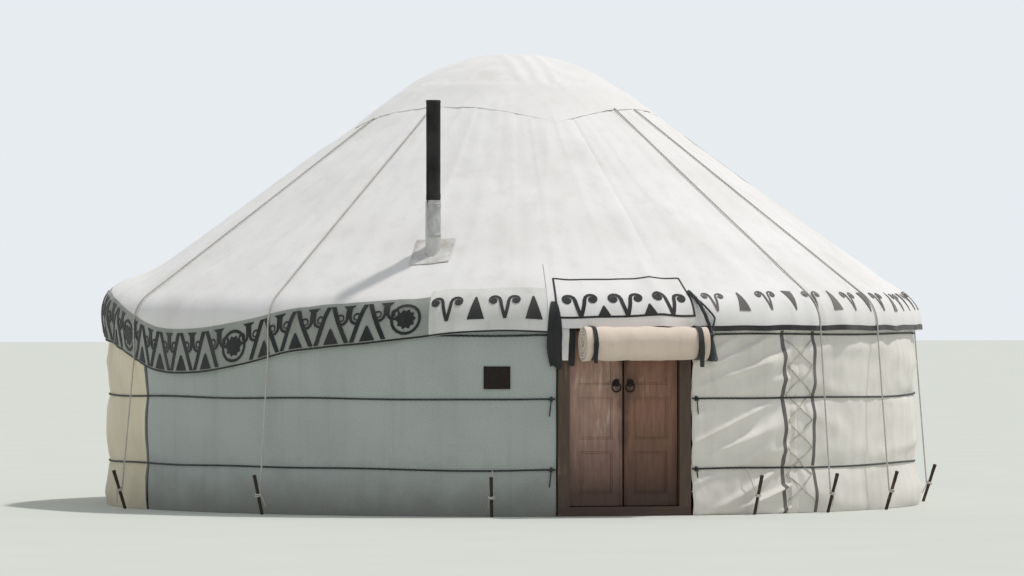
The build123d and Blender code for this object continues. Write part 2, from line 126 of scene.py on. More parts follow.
# %% Unevenness of cloth
wave_count = 8


def ripples(points, seed, length):
    """Heights from about -1 to 1 at points, with waves of about one length."""
    rng = np.random.default_rng(seed)
    headings = rng.normal(size=(wave_count, 3))
    headings /= np.linalg.norm(headings, axis=1)[:, None]
    pace = 2 * math.pi / (length * rng.uniform(0.7, 1.5, wave_count))
    phases = rng.uniform(0, 2 * math.pi, wave_count)
    waves = np.sin(points @ (headings * pace[:, None]).T + phases)
    return waves.sum(axis=-1) / math.sqrt(wave_count)


def creases(points, seed, length, sharpness=3):
    """Narrow ridges from 0 to 1."""
    return (1 - np.clip(np.abs(ripples(points, seed, length)), 0, 1)) ** sharpness


print("each ripple adds up", wave_count, "waves")

# %% [markdown]
# The camera stands where the photographer stood: far off, at eye height, a little to the left of
# the door's own line. The distance makes the yurt look flat, so the lens is very long.

# %% Camera
view_angle = -15.4
view_distance = 49.0
eye_height = 1.6
aim_height = 1.72
lens_length = 215.0
sensor_width = 36.0
sight_end = 400.0

bpy.ops.object.camera_add(location=around(view_angle, view_distance, eye_height))
camera = bpy.context.object
camera.name = "camera"
aim = Vector((0, 0, aim_height)) - camera.location
camera.rotation_euler = aim.to_track_quat("-Z", "Y").to_euler()
camera.data.lens = lens_length
camera.data.sensor_width = sensor_width
camera.data.clip_end = sight_end
bpy.context.scene.camera = camera
print("camera at", [round(value, 2) for value in camera.location])

# %% [markdown]
# A finish is a small network of nodes. Adding each node, its numbers and its wires by hand takes
# many lines, so these helpers do it in one call. Colours are written as screen values from 0 to
# 255 and turned into the linear values that shaders want.

# %% Helpers for finishes
def colour(red, green, blue):
    """A linear colour from screen values of 0 to 255."""
    screen = np.array([red, green, blue]) / 255
    linear = np.where(screen < 0.04045, screen / 12.92, ((screen + 0.055) / 1.055) ** 2.4)
    return (*linear.tolist(), 1.0)


def add_node(tree, kind, numbers=None, wires=None, **settings):
    """A node with its settings, the numbers of its inputs and the wires into them."""
    made = tree.nodes.new(kind)
    for name, value in settings.items():
        setattr(made, name, value)
    for name, value in (numbers or {}).items():
        made.inputs[name].default_value = value
    for name, source in (wires or {}).items():
        tree.links.new(source, made.inputs[name])
    return made


def sums(tree, operation, first, second=0.0):
    """Arithmetic on one or two values; each is a number or a wire."""
    made = add_node(tree, "ShaderNodeMath", operation=operation)
    for place, value in enumerate((first, second)):
        if isinstance(value, (float, int)):
            made.inputs[place].default_value = value
        else:
            tree.links.new(value, made.inputs[place])
    return made.outputs[0]


def mixed(tree, share, first, second, blend="MIX"):
    """Two colours mixed by a share; each is a colour or a wire."""
    made = add_node(tree, "ShaderNodeMixRGB", blend_type=blend)
    for name, value in (("Fac", share), ("Color1", first), ("Color2", second)):
        if isinstance(value, (tuple, float, int)):
            made.inputs[name].default_value = value
        else:
            tree.links.new(value, made.inputs[name])
    return made.outputs["Color"]


def between(tree, value, low, high):
    """Stretches values so that low becomes 0 and high becomes 1."""
    numbers = {"From Min": low, "From Max": high}
    return add_node(tree, "ShaderNodeMapRange", numbers, {"Value": value}).outputs["Result"]


print("mid grey is", [round(value, 3) for value in colour(128, 128, 128)])

# %% [markdown]
# Every finish starts from one shader and reads its pattern either from the place on the yurt, by
# object coordinates, or from the piece's own UV map. Noise gives the pattern, and a bump node
# turns a height into fine relief.

# %% Patterns for finishes
def new_finish(name, roughness, metallic=0.0):
    """A material with one Principled shader; returns the material, its tree and the shader."""
    material = bpy.data.materials.new(name)
    material.use_nodes = True
    shader = material.node_tree.nodes["Principled BSDF"]
    shader.inputs["Roughness"].default_value = roughness
    shader.inputs["Metallic"].default_value = metallic
    return material, material.node_tree, shader


def pattern_space(tree, source, scale):
    """Coordinates from one source, stretched along each axis."""
    place = add_node(tree, "ShaderNodeTexCoord")
    wires = {"Vector": place.outputs[source]}
    return add_node(tree, "ShaderNodeMapping", {"Scale": scale}, wires).outputs["Vector"]


def object_space(tree, scale=(1, 1, 1)):
    """Object coordinates, which are metres on the yurt."""
    return pattern_space(tree, "Object", scale)


def cloth_space(tree, scale=(1, 1, 1)):
    """The piece's own UV map, which is in metres of flat cloth or rope."""
    return pattern_space(tree, "UV", scale)


def place_on_yurt(tree):
    """The X, Y and Z of a point as three outputs."""
    return add_node(tree, "ShaderNodeSeparateXYZ", wires={"Vector": object_space(tree)}).outputs


def noise(tree, space, scale, detail=4.0, roughness=0.55):
    """Cloudy values from 0 to 1."""
    numbers = {"Scale": scale, "Detail": detail, "Roughness": roughness}
    return add_node(tree, "ShaderNodeTexNoise", numbers, {"Vector": space}).outputs["Fac"]


def dents(tree, shader, height, distance):
    """Bump from a height, in metres at most distance deep."""
    made = add_node(tree, "ShaderNodeBump", {"Distance": distance}, {"Height": height})
    tree.links.new(made.outputs["Normal"], shader.inputs["Normal"])


def roughened(tree, shader, share, fresh, worn):
    """Roughness that goes from fresh to worn by a share."""
    numbers = {"To Min": fresh, "To Max": worn}
    rough = add_node(tree, "ShaderNodeMapRange", numbers, {"Value": share})
    tree.links.new(rough.outputs["Result"], shader.inputs["Roughness"])


given_materials = len(bpy.data.materials)
print(given_materials, "plain materials came with the frame")

# %% [markdown]
# The sun in the photo comes from the right, high and a little behind, so the door and the wall
# left of it are in open shade: the shadow of the stove pipe on the roof gives both angles. A sun
# lamp gives that direction, its width softens the edges, and a cool world fills the shade. Where
# the camera sees the world itself, or its mirror image, it sees a pale backdrop instead.

# %% Light
sun_angle = 98.0
sun_rise = math.radians(63.3)
sun_strength = 2.24
sun_softness = math.radians(3.0)
sun_colour = (1.0, 0.985, 0.96)
sky_colour = (0.90, 0.95, 1.0, 1.0)
sky_strength = 0.55
backdrop_colour = (0.80, 0.84, 0.88, 1.0)

bpy.ops.object.light_add(type="SUN", location=(0, 0, 10))
sun = bpy.context.object
sun.name = "sun"
towards = Vector(around(sun_angle, math.cos(sun_rise), math.sin(sun_rise)))
sun.rotation_euler = towards.to_track_quat("Z", "Y").to_euler()
sun.data.energy = sun_strength
sun.data.angle = sun_softness
sun.data.color = sun_colour

world = bpy.data.worlds.new("soft_sky")
bpy.context.scene.world = world
world.use_nodes = True
sky = world.node_tree
lit_by = sky.nodes["Background"]
lit_by.inputs["Color"].default_value = sky_colour
lit_by.inputs["Strength"].default_value = sky_strength
seen = add_node(sky, "ShaderNodeBackground", {"Color": backdrop_colour})
rays = add_node(sky, "ShaderNodeLightPath").outputs
camera_or_gloss = sums(sky, "MAXIMUM", rays["Is Camera Ray"], rays["Is Glossy Ray"])
any_view = sums(sky, "MAXIMUM", camera_or_gloss, rays["Is Transmission Ray"])
choice = add_node(sky, "ShaderNodeMixShader")
for place, source in enumerate((any_view, lit_by.outputs[0], seen.outputs[0])):
    sky.links.new(source, choice.inputs[place])
sky.links.new(choice.outputs[0], sky.nodes["World Output"].inputs["Surface"])
bpy.context.scene.view_settings.view_transform = "Standard"
print("sun", sun_strength, "sky", sky_strength)

# %% [markdown]
# Canvas and felt are the main finishes. Up close one sees threads, further off soft clouds of
# wear, grey runs where rain has come down the slope, and along the ground a dark tone that is
# partly splashed earth and partly painted shade at the foot of the wall.
# Threads follow the cloth, so they read the UV map in metres. Weather belongs to the place on the
# yurt, so it reads object coordinates.

# %% Cloth finishes
foot_shade_and_splash_top = 0.30
foot_shade_and_splash_full = -0.12
wave_unit = 2 * math.pi / 20
weave_share = 0.3
lump_share = 3.0
speckle_share = 0.10
earth_and_foot_shade = colour(104, 98, 88)
dark_speck = colour(90, 86, 80)
pale_speck = colour(255, 255, 255)


def threads(tree, size):
    """Height of a plain weave, with one thread every so many metres."""
    numbers = {"Scale": wave_unit / size, "Distortion": 1.2, "Detail": 1.0, "Detail Scale": 2.0}
    heights = []
    for direction in ("X", "Y"):
        wires = {"Vector": cloth_space(tree)}
        wave = add_node(tree, "ShaderNodeTexWave", numbers, wires, bands_direction=direction)
        heights.append(wave.outputs["Fac"])
    return sums(tree, "MAXIMUM", *heights)


def weather(tree, base, soil, amount, foot_shade_and_splash):
    """A base colour with clouds of wear, rain runs, and near the ground a dark tone that is partly earth and
    partly painted shade.
    """
    clouds = between(tree, noise(tree, object_space(tree), 1.6, 6.0), 0.42, 0.72)
    worn = mixed(tree, sums(tree, "MULTIPLY", clouds, amount), base, soil)
    runs = noise(tree, object_space(tree, (9, 9, 0.7)), 1.0, 5.0)
    streaks = sums(tree, "MULTIPLY", between(tree, runs, 0.52, 0.8), amount)
    worn = mixed(tree, streaks, worn, soil)
    # Near the ground the tone turns dark: partly splashed earth, partly painted shade at the foot of the
    # wall.
    above_ground = place_on_yurt(tree)["Z"]
    uneven = sums(tree, "MULTIPLY", noise(tree, object_space(tree), 5.0), 0.3)
    height = sums(tree, "SUBTRACT", above_ground, uneven)
    low = between(tree, height, foot_shade_and_splash_top, foot_shade_and_splash_full)
    return mixed(tree, sums(tree, "MULTIPLY", low, foot_shade_and_splash), worn, earth_and_foot_shade)


def cloth_finish(name, base, soil, amount=0.25, thread=0.0022, fuzz=0.15, depth=0.0006, foot_shade_and_splash=0.3):
    """Woven or felted cloth with its weather."""
    material, tree, shader = new_finish(name, 0.92)
    tinted = weather(tree, base, soil, amount, foot_shade_and_splash)
    speckle = between(tree, noise(tree, cloth_space(tree), 90.0, 3.0), 0.3, 0.7)
    specks = mixed(tree, speckle, dark_speck, pale_speck)
    tone = mixed(tree, speckle_share, tinted, specks, "OVERLAY")
    tree.links.new(tone, shader.inputs["Base Color"])
    shader.inputs["Sheen Weight"].default_value = fuzz
    shader.inputs["Specular IOR Level"].default_value = 0.25
    lumps = sums(tree, "MULTIPLY", noise(tree, cloth_space(tree), 14.0, 5.0), lump_share)
    weave = sums(tree, "MULTIPLY", threads(tree, thread), weave_share)
    dents(tree, shader, sums(tree, "ADD", lumps, weave), depth)
    return material


white_canvas = cloth_finish("white_canvas", colour(235, 232, 230), colour(196, 190, 180))
side_canvas = cloth_finish("side_canvas", colour(233, 228, 220), colour(192, 184, 174), 0.35, foot_shade_and_splash=0.12)
cream_canvas = cloth_finish("cream_canvas", colour(233, 222, 194), colour(194, 178, 154), 0.35)
# The blue width gets the strongest dark foot, painted shade as well as earth.
blue_canvas = cloth_finish("blue_canvas", colour(178, 184, 180), colour(148, 154, 150), 0.3, foot_shade_and_splash=0.6)
band_canvas = cloth_finish("band_canvas", colour(230, 228, 224), colour(168, 164, 156), 0.4)
grey_canvas = cloth_finish("grey_canvas", colour(162, 164, 158), colour(116, 118, 112), 0.5)
curtain_felt = cloth_finish(
    "curtain_felt", colour(227, 209, 193), colour(190, 168, 150), 0.4, 0.006, 0.3, 0.0012
)
dark_cloth = cloth_finish("dark_cloth", colour(44, 45, 46), colour(80, 78, 74), 0.5, 0.003, 0.2)
faded_cloth = cloth_finish("faded_cloth", colour(104, 100, 98), colour(140, 134, 128), 0.5, 0.003, 0.2)
cloth_finishes = len(bpy.data.materials) - given_materials
print(cloth_finishes, "cloth finishes")

# %% [markdown]
# Ropes here are laid from three strands of wool or hair, and the short hairs catch the light.
# The strands are real shape on the mesh, so the finish only adds fibres along the lay and dirt.

# %% Rope finishes
def rope_finish(name, dark, light):
    """Hairy rope, with fibres along its lay and older, dirtier stretches."""
    material, tree, shader = new_finish(name, 0.95)
    fibres = noise(tree, cloth_space(tree, (60, 9, 1)), 9.0, 4.0)
    old = noise(tree, object_space(tree), 7.0, 3.0)
    share = sums(tree, "MULTIPLY", between(tree, fibres, 0.3, 0.7), between(tree, old, 0.2, 0.8))
    tree.links.new(mixed(tree, share, dark, light), shader.inputs["Base Color"])
    shader.inputs["Sheen Weight"].default_value = 0.2
    dents(tree, shader, fibres, 0.0012)
    return material


dark_rope = rope_finish("dark_rope", colour(34, 38, 40), colour(82, 88, 86))
pale_rope = rope_finish("pale_rope", colour(186, 182, 172), colour(228, 224, 214))
print("ropes in", dark_rope.name, "and", pale_rope.name)

# %% [markdown]
# The wood is painted or stained, and its coat wears off along the grain, so the grain is noise
# that is stretched along the piece. The door leaves are also dark with grime where hands take
# hold round the pulls, darker towards the foot, and darkened along their meeting edges as painted
# shade of the gap between them.

# %% Wood finishes
# The first two pairs darken the leaves towards the foot and, as painted shade, along their meeting edges; the
# dark tone below serves them and the grime round the pulls.
foot_darkening = (0.78, 0.16)
meeting_edge_shade = (0.120, 0.060)
grip_height = 0.98
grip_dirt = (0.16, 0.03)
grip_across = (0.22, 0.10)
grime_and_shade_tone = (0.18, 0.14, 0.11, 1.0)
grain_stretch = {"X": (0.12, 1, 1), "Z": (1, 1, 0.12)}
worn_wood = 0.85


def grimed_and_shaded(tree, tone):
    """Darkens a tone towards the foot of the door, with painted shade along its meeting edges and with grime
    round its pulls.
    """
    place = place_on_yurt(tree)
    uneven = sums(tree, "MULTIPLY", noise(tree, object_space(tree), 6.0), 0.10)
    across = sums(tree, "ADD", sums(tree, "ABSOLUTE", place["X"]), uneven)
    # The tone grows darker towards the foot, and along the meeting edges it is darkened as painted shade of
    # the gap between the leaves.
    low = between(tree, place["Z"], *foot_darkening)
    edge = between(tree, across, *meeting_edge_shade)
    from_pull = sums(tree, "ABSOLUTE", sums(tree, "SUBTRACT", place["Z"], grip_height))
    grip = sums(
        tree, "MULTIPLY", between(tree, from_pull, *grip_dirt), between(tree, across, *grip_across)
    )
    grime_and_shade_share = sums(tree, "MAXIMUM", sums(tree, "MULTIPLY", edge, 0.82), sums(tree, "MULTIPLY", grip, 0.8))
    grime_and_shade_share = sums(tree, "MAXIMUM", grime_and_shade_share, sums(tree, "MULTIPLY", low, 0.95))
    return mixed(tree, grime_and_shade_share, tone, grime_and_shade_tone, "MULTIPLY")


def wood_finish(name, paint, bare, wear, grain_axis="Z", scale=9.0, roughness=0.6, door=False):
    """Painted or stained wood whose coat has worn off along the grain."""
    material, tree, shader = new_finish(name, roughness)
    stretch = grain_stretch[grain_axis]
    grain = noise(tree, object_space(tree, stretch), scale * 4, 6.0, 0.65)
    fine = noise(tree, object_space(tree, stretch), scale * 22, 3.0)
    patches = noise(tree, object_space(tree), scale * 0.45, 4.0)
    patchy_grain = sums(tree, "ADD", sums(tree, "MULTIPLY", grain, 0.6), patches)
    lost = between(tree, patchy_grain, 1.05 - wear, 1.2 - wear)
    shade = mixed(tree, between(tree, grain, 0.35, 0.7), (0.55, 0.55, 0.55, 1.0), (1.0, 1.0, 1.0, 1.0))
    coat = mixed(tree, 0.8, paint, shade, "MULTIPLY")
    wood = mixed(tree, 0.8, bare, shade, "MULTIPLY")
    tone = mixed(tree, lost, coat, wood)
    tree.links.new(grimed_and_shaded(tree, tone) if door else tone, shader.inputs["Base Color"])
    dents(tree, shader, sums(tree, "ADD", grain, sums(tree, "MULTIPLY", fine, 0.5)), 0.0012)
    roughened(tree, shader, lost, roughness, worn_wood)
    return material


red_wood = wood_finish("red_wood", colour(134, 52, 34), colour(168, 126, 88), 0.10)
pole_wood = wood_finish("pole_wood", colour(140, 54, 36), colour(172, 132, 94), 0.14, scale=7.0)
frame_wood = wood_finish("frame_wood", colour(86, 68, 52), colour(134, 110, 88), 0.12)
frame_wood_flat = wood_finish("frame_wood_flat", colour(80, 58, 46), colour(128, 104, 84), 0.12, "X")
leaf_wood_left = wood_finish("leaf_wood_left", colour(186, 148, 132), colour(206, 180, 160), 0.20, door=True)
leaf_wood_right = wood_finish("leaf_wood_right", colour(150, 108, 86), colour(180, 144, 118), 0.16, door=True)
peg_wood = wood_finish("peg_wood", colour(62, 50, 40), colour(120, 100, 80), 0.15, "Z", 20.0, 0.85)
print("wood wears to a roughness of", worn_wood)

# %% [markdown]
# The pipe is sheet steel, sooted at the top and galvanised below, and the irons of the door are
# forged. All of them are blotched, and small spots of rust come through.

# %% Metal finishes
rust_colour = colour(112, 70, 44)
worn_metal = 0.9


def metal_finish(name, clean, grimy, roughness, metallic, scale, rust):
    """Sheet metal or iron with blotches of soot, scale or rust."""
    material, tree, shader = new_finish(name, roughness, metallic)
    blotches = between(tree, noise(tree, object_space(tree, (1, 1, 0.5)), scale, 6.0), 0.38, 0.68)
    tone = mixed(tree, blotches, clean, grimy)
    spots = between(tree, noise(tree, object_space(tree), scale * 3, 5.0), 0.62, 0.72)
    tone = mixed(tree, sums(tree, "MULTIPLY", spots, rust), tone, rust_colour)
    tree.links.new(tone, shader.inputs["Base Color"])
    roughened(tree, shader, blotches, roughness, worn_metal)
    dents(tree, shader, noise(tree, object_space(tree), scale * 6, 5.0), 0.0008)
    return material


black_iron = metal_finish("black_iron", colour(36, 34, 32), colour(58, 48, 42), 0.5, 0.8, 30.0, 0.5)
sooted_steel = metal_finish("sooted_steel", colour(44, 42, 42), colour(22, 20, 20), 0.55, 0.5, 7.0, 0.25)
zinc_steel = metal_finish("zinc_steel", colour(196, 196, 194), colour(158, 154, 150), 0.42, 0.55, 9.0, 0.2)
limed_steel = metal_finish("limed_steel", colour(214, 212, 208), colour(186, 182, 176), 0.7, 0.1, 9.0, 0.1)
hard_finishes = len(bpy.data.materials) - given_materials - cloth_finishes
print(hard_finishes, "finishes for rope, wood and metal")

# %% [markdown]
# The yurt stands on a plain pale floor that takes its shadow. The floor and the sky behind it are
# the stage, and no part of the yurt.

# %% Floor
floor_size = 400.0

bpy.ops.mesh.primitive_plane_add(size=floor_size)
floor = bpy.context.object
floor.name = "floor"
bpy.ops.object.mode_set(mode="EDIT")
bpy.ops.mesh.subdivide(number_cuts=8)
bpy.ops.object.mode_set(mode="OBJECT")
floor_finish, floor_tree, floor_shader = new_finish("floor_finish", 0.95)
clouds = noise(floor_tree, object_space(floor_tree), 0.8, 3.0)
floor_tone = mixed(floor_tree, clouds, colour(196, 198, 190), colour(204, 206, 198))
floor_tree.links.new(floor_tone, floor_shader.inputs["Base Color"])
floor.data.materials.append(floor_finish)
print("floor", floor_size, "m wide")

# %% [markdown]
# The pieces are shaped in two ways. Operators work on what is selected, so a helper selects one
# piece, and another opens it in edit mode. Where each vertex goes to a place that can be worked
# out, all of them are read and written at once, as arrays.

# %% Handling a mesh
def only(piece):
    """Makes one object the only one selected, and active."""
    bpy.ops.object.select_all(action="DESELECT")
    piece.select_set(True)
    bpy.context.view_layer.objects.active = piece


def opened(piece, action="SELECT"):
    """Opens one piece in edit mode, with all of it selected or none."""
    only(piece)
    bpy.ops.object.mode_set(mode="EDIT")
    bpy.ops.mesh.select_all(action=action)


def closed():
    """Goes back to object mode."""
    bpy.ops.object.mode_set(mode="OBJECT")


def points_of(piece):
    """The piece's vertices as an array of x, y, z."""
    flat = np.empty(len(piece.data.vertices) * 3)
    piece.data.vertices.foreach_get("co", flat)
    return flat.reshape(-1, 3)


def set_points(piece, points):
    """Moves the piece's vertices."""
    piece.data.vertices.foreach_set("co", np.ascontiguousarray(points, dtype=float).ravel())
    piece.data.update()


print(len(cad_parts), "nodes in the frame")

# %% [markdown]
# Every piece goes through the same last steps: modifiers that are applied straight away, smooth
# shading, joining and copying, and at the end its material and its place in the yurt.

# %% Finishing a piece
def modified(piece, kind, **settings):
    """Gives a piece a modifier with its settings, and applies it."""
    only(piece)
    modifier = piece.modifiers.new(kind.lower(), kind)
    for name, value in settings.items():
        setattr(modifier, name, value)
    bpy.ops.object.modifier_apply(modifier=modifier.name)
    return piece


def rounded(piece, width, segments=2):
    """Rounds a piece's sharp edges."""
    return modified(piece, "BEVEL", width=width, segments=segments, limit_method="ANGLE")


def smooth(piece, degrees=50):
    """Smooth shading, with edges sharper than an angle left crisp."""
    only(piece)
    bpy.ops.object.shade_smooth_by_angle(angle=math.radians(degrees))
    return piece


def joined(name, pieces):
    """Joins pieces into one object."""
    only(pieces[0])
    for piece in pieces:
        piece.select_set(True)
    if len(pieces) > 1:
        bpy.ops.object.join()
    pieces[0].name = name
    return pieces[0]


def copy_of(piece, name, matrix):
    """A copy of a piece with its own mesh, carried by a matrix."""
    mesh = piece.data.copy()
    mesh.transform(matrix)
    other = bpy.data.objects.new(name, mesh)
    bpy.context.scene.collection.objects.link(other)
    return other


def belongs(piece, finish, body="yurt", nodes=()):
    """Gives a finished piece its material, its body and the nodes it stands for."""
    piece.data.materials.clear()
    piece.data.materials.append(finish)
    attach(piece, body)
    if nodes:
        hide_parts(*nodes)
    print(piece.name, len(piece.data.polygons), "faces")
    return piece


# %% [markdown]
# Every cloth is cut flat first, as a grid with its lower left corner at zero and its UV map in
# metres. Then each vertex is carried to its place on the yurt, and Solidify gives the cloth its
# thickness inwards. So the weave, the seams and the size of the cut all stay true.

# %% Cutting and hanging
def flat_cloth(name, width, height, step, rise_step=None):
    """A flat grid of cloth from zero to its width and height, lying face up."""
    columns = max(1, round(width / step))
    rows = max(1, round(height / (rise_step or step)))
    bpy.ops.mesh.primitive_grid_add(x_subdivisions=columns, y_subdivisions=rows, size=2)
    piece = bpy.context.object
    piece.name = name
    set_points(piece, (points_of(piece) + (1, 1, 0)) * (width / 2, height / 2, 1))
    layer = piece.data.uv_layers.active.data
    uv = np.empty(len(layer) * 2)
    layer.foreach_get("uv", uv)
    layer.foreach_set("uv", (uv.reshape(-1, 2) * (width, height)).ravel())
    return piece


def carried(piece, place):
    """Carries each vertex of a flat piece to place(x, y), which works on whole arrays."""
    points = points_of(piece)
    set_points(piece, place(points[:, 0], points[:, 1]))
    return piece


def thickened(piece, thickness):
    """Gives a cloth its thickness on the inner side."""
    return modified(piece, "SOLIDIFY", thickness=thickness, offset=-1)


# %% [markdown]
# The wall cover is felt under canvas, in several widths that meet edge to edge. Three ropes draw
# it in, and between them it swells out over the lattice. Left of the door it hangs smooth and
# bluish in the shade; right of the door it is slack, with puckers that run off the ropes.
# A cloth simulation would need the lattice, the ropes and hours of settling; carrying a grid with
# a swell between ropes and creases at the ropes gives the same look at once.

# %% Shape of the wall cover
wall_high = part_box("wall_cover_1")[1]
wall_radius = 3.208
wall_foot = 0.002
wall_height = wall_high.z - 2 * wall_foot
rope_heights = (0.350, 0.880, 1.360)
lace_start = 24.3
taut_swell = 0.010
loose_swell = 0.018
fold_depth = 0.044
foot_flare = 0.040
press_rounding = 0.008
press_in = 0.002
eave_tuck = 0.10


def between_ropes(height):
    """0 at the ropes and 1 half way between them."""
    stops = (0.0,) + rope_heights + (wall_high.z,)
    swell = np.zeros_like(height)
    for low, high in zip(stops[:-1], stops[1:]):
        share = (height - low) / (high - low)
        inside = (share >= 0) & (share <= 1)
        swell[inside] = np.sin(math.pi * share[inside]) ** 0.7
    return swell


def near_ropes(height):
    """1 a hand's breadth from a rope, falling to 0 at the rope and far from it."""
    total = np.zeros_like(height)
    for rope in rope_heights:
        off = height - rope
        total += bell(off, 0.13) * (1 - bell(off, 0.03))
    return np.clip(total, 0, 1)


def folds(angle, height, steepness, seed, length):
    """Folds that run aslant over the wall, rising to the right by a steepness."""
    along = np.radians(angle) * wall_radius
    space = xyz(height - steepness * along, along * 0.16, 0)
    return bell(ripples(space, seed, length), 0.55) - 0.40


def wall_place(angle, height, slack):
    """Places on the outer face of the wall cover; slack is 0 for taut cloth and 1 for loose."""
    ring = around(angle, wall_radius, height)
    upright_space = around(angle, wall_radius, height * 0.25)
    loose = np.clip(0.55 + 0.5 * ripples(ring, 21, 1.3), 0.15, 1.2)
    swell = between_ropes(height)
    out = (taut_swell + loose_swell * loose) * swell * (0.7 + 0.5 * slack)
    puckers = creases(upright_space, 22, 0.30) - 0.25
    out += near_ropes(height) * puckers * (0.003 + 0.009 * slack)
    laced = bell(angle_from(angle, lace_start - 2), 11) * (angle < lace_start + 1)
    out += swell * folds(angle, height, 0.42, 23, 0.20) * fold_depth * laced
    out += foot_flare * slack * (0.6 + 0.4 * loose) * bell(height, 0.17)
    open_side = slack * (1 - laced)
    out += swell * folds(angle, height, -0.12, 24, 0.34) * (0.002 + 0.016 * open_side)
    out += swell * ripples(ring, 25, 0.16) * (0.0006 + 0.0026 * slack)
    out = 0.5 * (out + np.sqrt(out**2 + press_rounding**2)) - press_in
    under_eave = np.clip((height - hem_height + eave_tuck) / eave_tuck, 0, 1)
    return around(angle, wall_radius + out * (1 - 0.7 * under_eave), height)


print("wall cover", round(wall_height, 3), "m high, ropes at", rope_heights)

# %% [markdown]
# Five widths go round: a blue and a cream one left of the door, and three pale ones right of it.
# Each is carried by the same function, only slacker or tauter, so they meet without a step. The
# narrow one beside the door is cut on a finer grid, because its folds are the sharpest.

# %% Widths of the wall cover
wall_thickness = 0.010
door_half_angle = 9.49
blue_end = -77
laced_seam = lace_start + 2.6
back_seam = 104
edge_turn = 0.0022
edge_width = 0.012


def wall_width(name, start, end, slack, finish, nodes, step=0.028):
    """One width of wall cover between two angles, its side edges turned in."""
    span = math.radians(end - start) * wall_radius
    piece = flat_cloth(name, span, wall_height, step, step * 0.875)

    def place(x, y):
        angle = start + x / span * (end - start)
        inwards = 1 - edge_turn * bell(np.minimum(x, span - x), edge_width)
        return wall_place(angle, y + wall_foot, slack) * xyz(inwards, inwards, 1)

    thickened(carried(piece, place), wall_thickness)
    belongs(smooth(piece), finish, nodes=nodes)
    return piece


wall_widths = [
    wall_width("wall_front_left", blue_end, -door_half_angle, 0.15, blue_canvas, ["wall_cover_6"]),
    wall_width("wall_back_left", -180, blue_end, 0.7, cream_canvas, ["wall_cover_5", "wall_cover_4"]),
    wall_width("wall_front_right", door_half_angle, laced_seam, 1.0, side_canvas, ["wall_cover_1"], 0.008),
    wall_width("wall_right", laced_seam, back_seam, 1.0, side_canvas, ["wall_cover_2"]),
    wall_width("wall_back_right", back_seam, 180, 0.8, side_canvas, ["wall_cover_3"]),
]
print(len(wall_widths), "widths of wall cover")

# %% [markdown]
# One function says how the roof cloth stands off its plain shape, and the roof, the eave band,
# its ornament and the ropes all read it, so that each lies on the one below. The cloth rides on
# the poles and sinks between them, falls in long folds down the slope, flutes towards the hem
# and is pressed down under each rope. On the left it is stuffed out over the shoulder, and the
# hem has slipped a foot down the wall there, as the photo shows: the whole lower cloth slides, so
# its band is not stretched.

# %% Swell of the roof
tie_rope_angles = (31, 45, 80, 130, 180, 230, 280, 310)
pole_pitch = 4.737
pole_sink = 0.005
least_swell = -0.006
stuffed_swell = 0.085
slip_angle = -66
slip_depth = 0.33
slip_reach = 2.2


def between_poles(angle):
    """0 over a roof pole and 1 half way to the next."""
    away = np.abs(angle_from(angle, 0))
    wall_poles = 0.5 + 0.5 * np.cos(2 * math.pi * (away - door_half_angle) / pole_pitch)
    door_poles = 0.5 - 0.5 * np.cos(2 * math.pi * away / pole_pitch)
    return np.where(away > door_half_angle, wall_poles, door_poles)


def hem_slip(angle):
    """How far the hem hangs below its level, in metres."""
    ring = around(angle, eave_radius, 0.0)
    left = slip_depth * bell(angle_from(angle, slip_angle), 22) + 0.03 * bell(angle_from(angle, -35), 14)
    return left + 0.010 * ripples(ring, 31, 1.2) + 0.004 * ripples(ring, 32, 0.45)


def rope_press(angle, radius):
    """1 under a rope that runs down the roof, and how much the cloth humps beside it."""
    under = np.zeros_like(angle)
    beside = np.zeros_like(angle)
    for rope in tie_rope_angles:
        away = np.radians(angle_from(angle, rope)) * radius
        under = np.maximum(under, bell(away, 0.028))
        beside = np.maximum(beside, bell(away, 0.10) - bell(away, 0.045))
    return under, beside


def roof_swell(angle, distance):
    """How far the roof cloth stands off its plain shape, in metres."""
    angle, distance = np.broadcast_arrays(np.asarray(angle, float), np.asarray(distance, float))
    radius, _ = roof_line(distance)
    down = around(angle, 3.0, distance / 6)
    flat = around(angle, np.clip(radius, 0.3, None), distance * 0.6)
    right = np.clip((angle_from(angle, 40) + 70) / 60, 0, 1)
    right = right * np.clip((70 - angle_from(angle, 60)) / 40, 0, 1)
    swell = -pole_sink * between_poles(angle) * radius / eave_radius
    swell = swell + (0.013 + 0.009 * right) * (creases(down, 33, 0.6, 2) - 0.2) * radius / eave_radius
    swell = swell + 0.007 * ripples(flat, 34, 0.9) + 0.0025 * ripples(flat, 35, 0.28)
    flutes = np.maximum(ripples(around(angle, eave_radius, distance / 7), 36, 0.34), 0)
    swell = swell + 0.012 * flutes * np.exp(-np.clip(distance, 0, None) / 0.30)
    under, beside = rope_press(angle, radius)
    swell = swell * (1 - under) + 0.008 * beside
    stuffed = bell(angle_from(angle, -103), 13) * bell(distance - 0.36, 0.22)
    return np.maximum(swell, least_swell) + stuffed_swell * stuffed


def on_roof(angle, distance, lift=0.0):
    """Places on the roof cloth, at a distance up from its hem and a lift off the eave band."""
    lift = lift + roof_swell(angle, distance)
    share = np.clip(np.asarray(distance) / slip_reach, 0, 1)
    slid = distance - hem_slip(angle) * (1 - eased(share))
    radius, height = roof_line(slid, lift)
    return around(angle, radius, height)


print("hem slips", round(float(hem_slip(slip_angle)), 3), "m on the left")

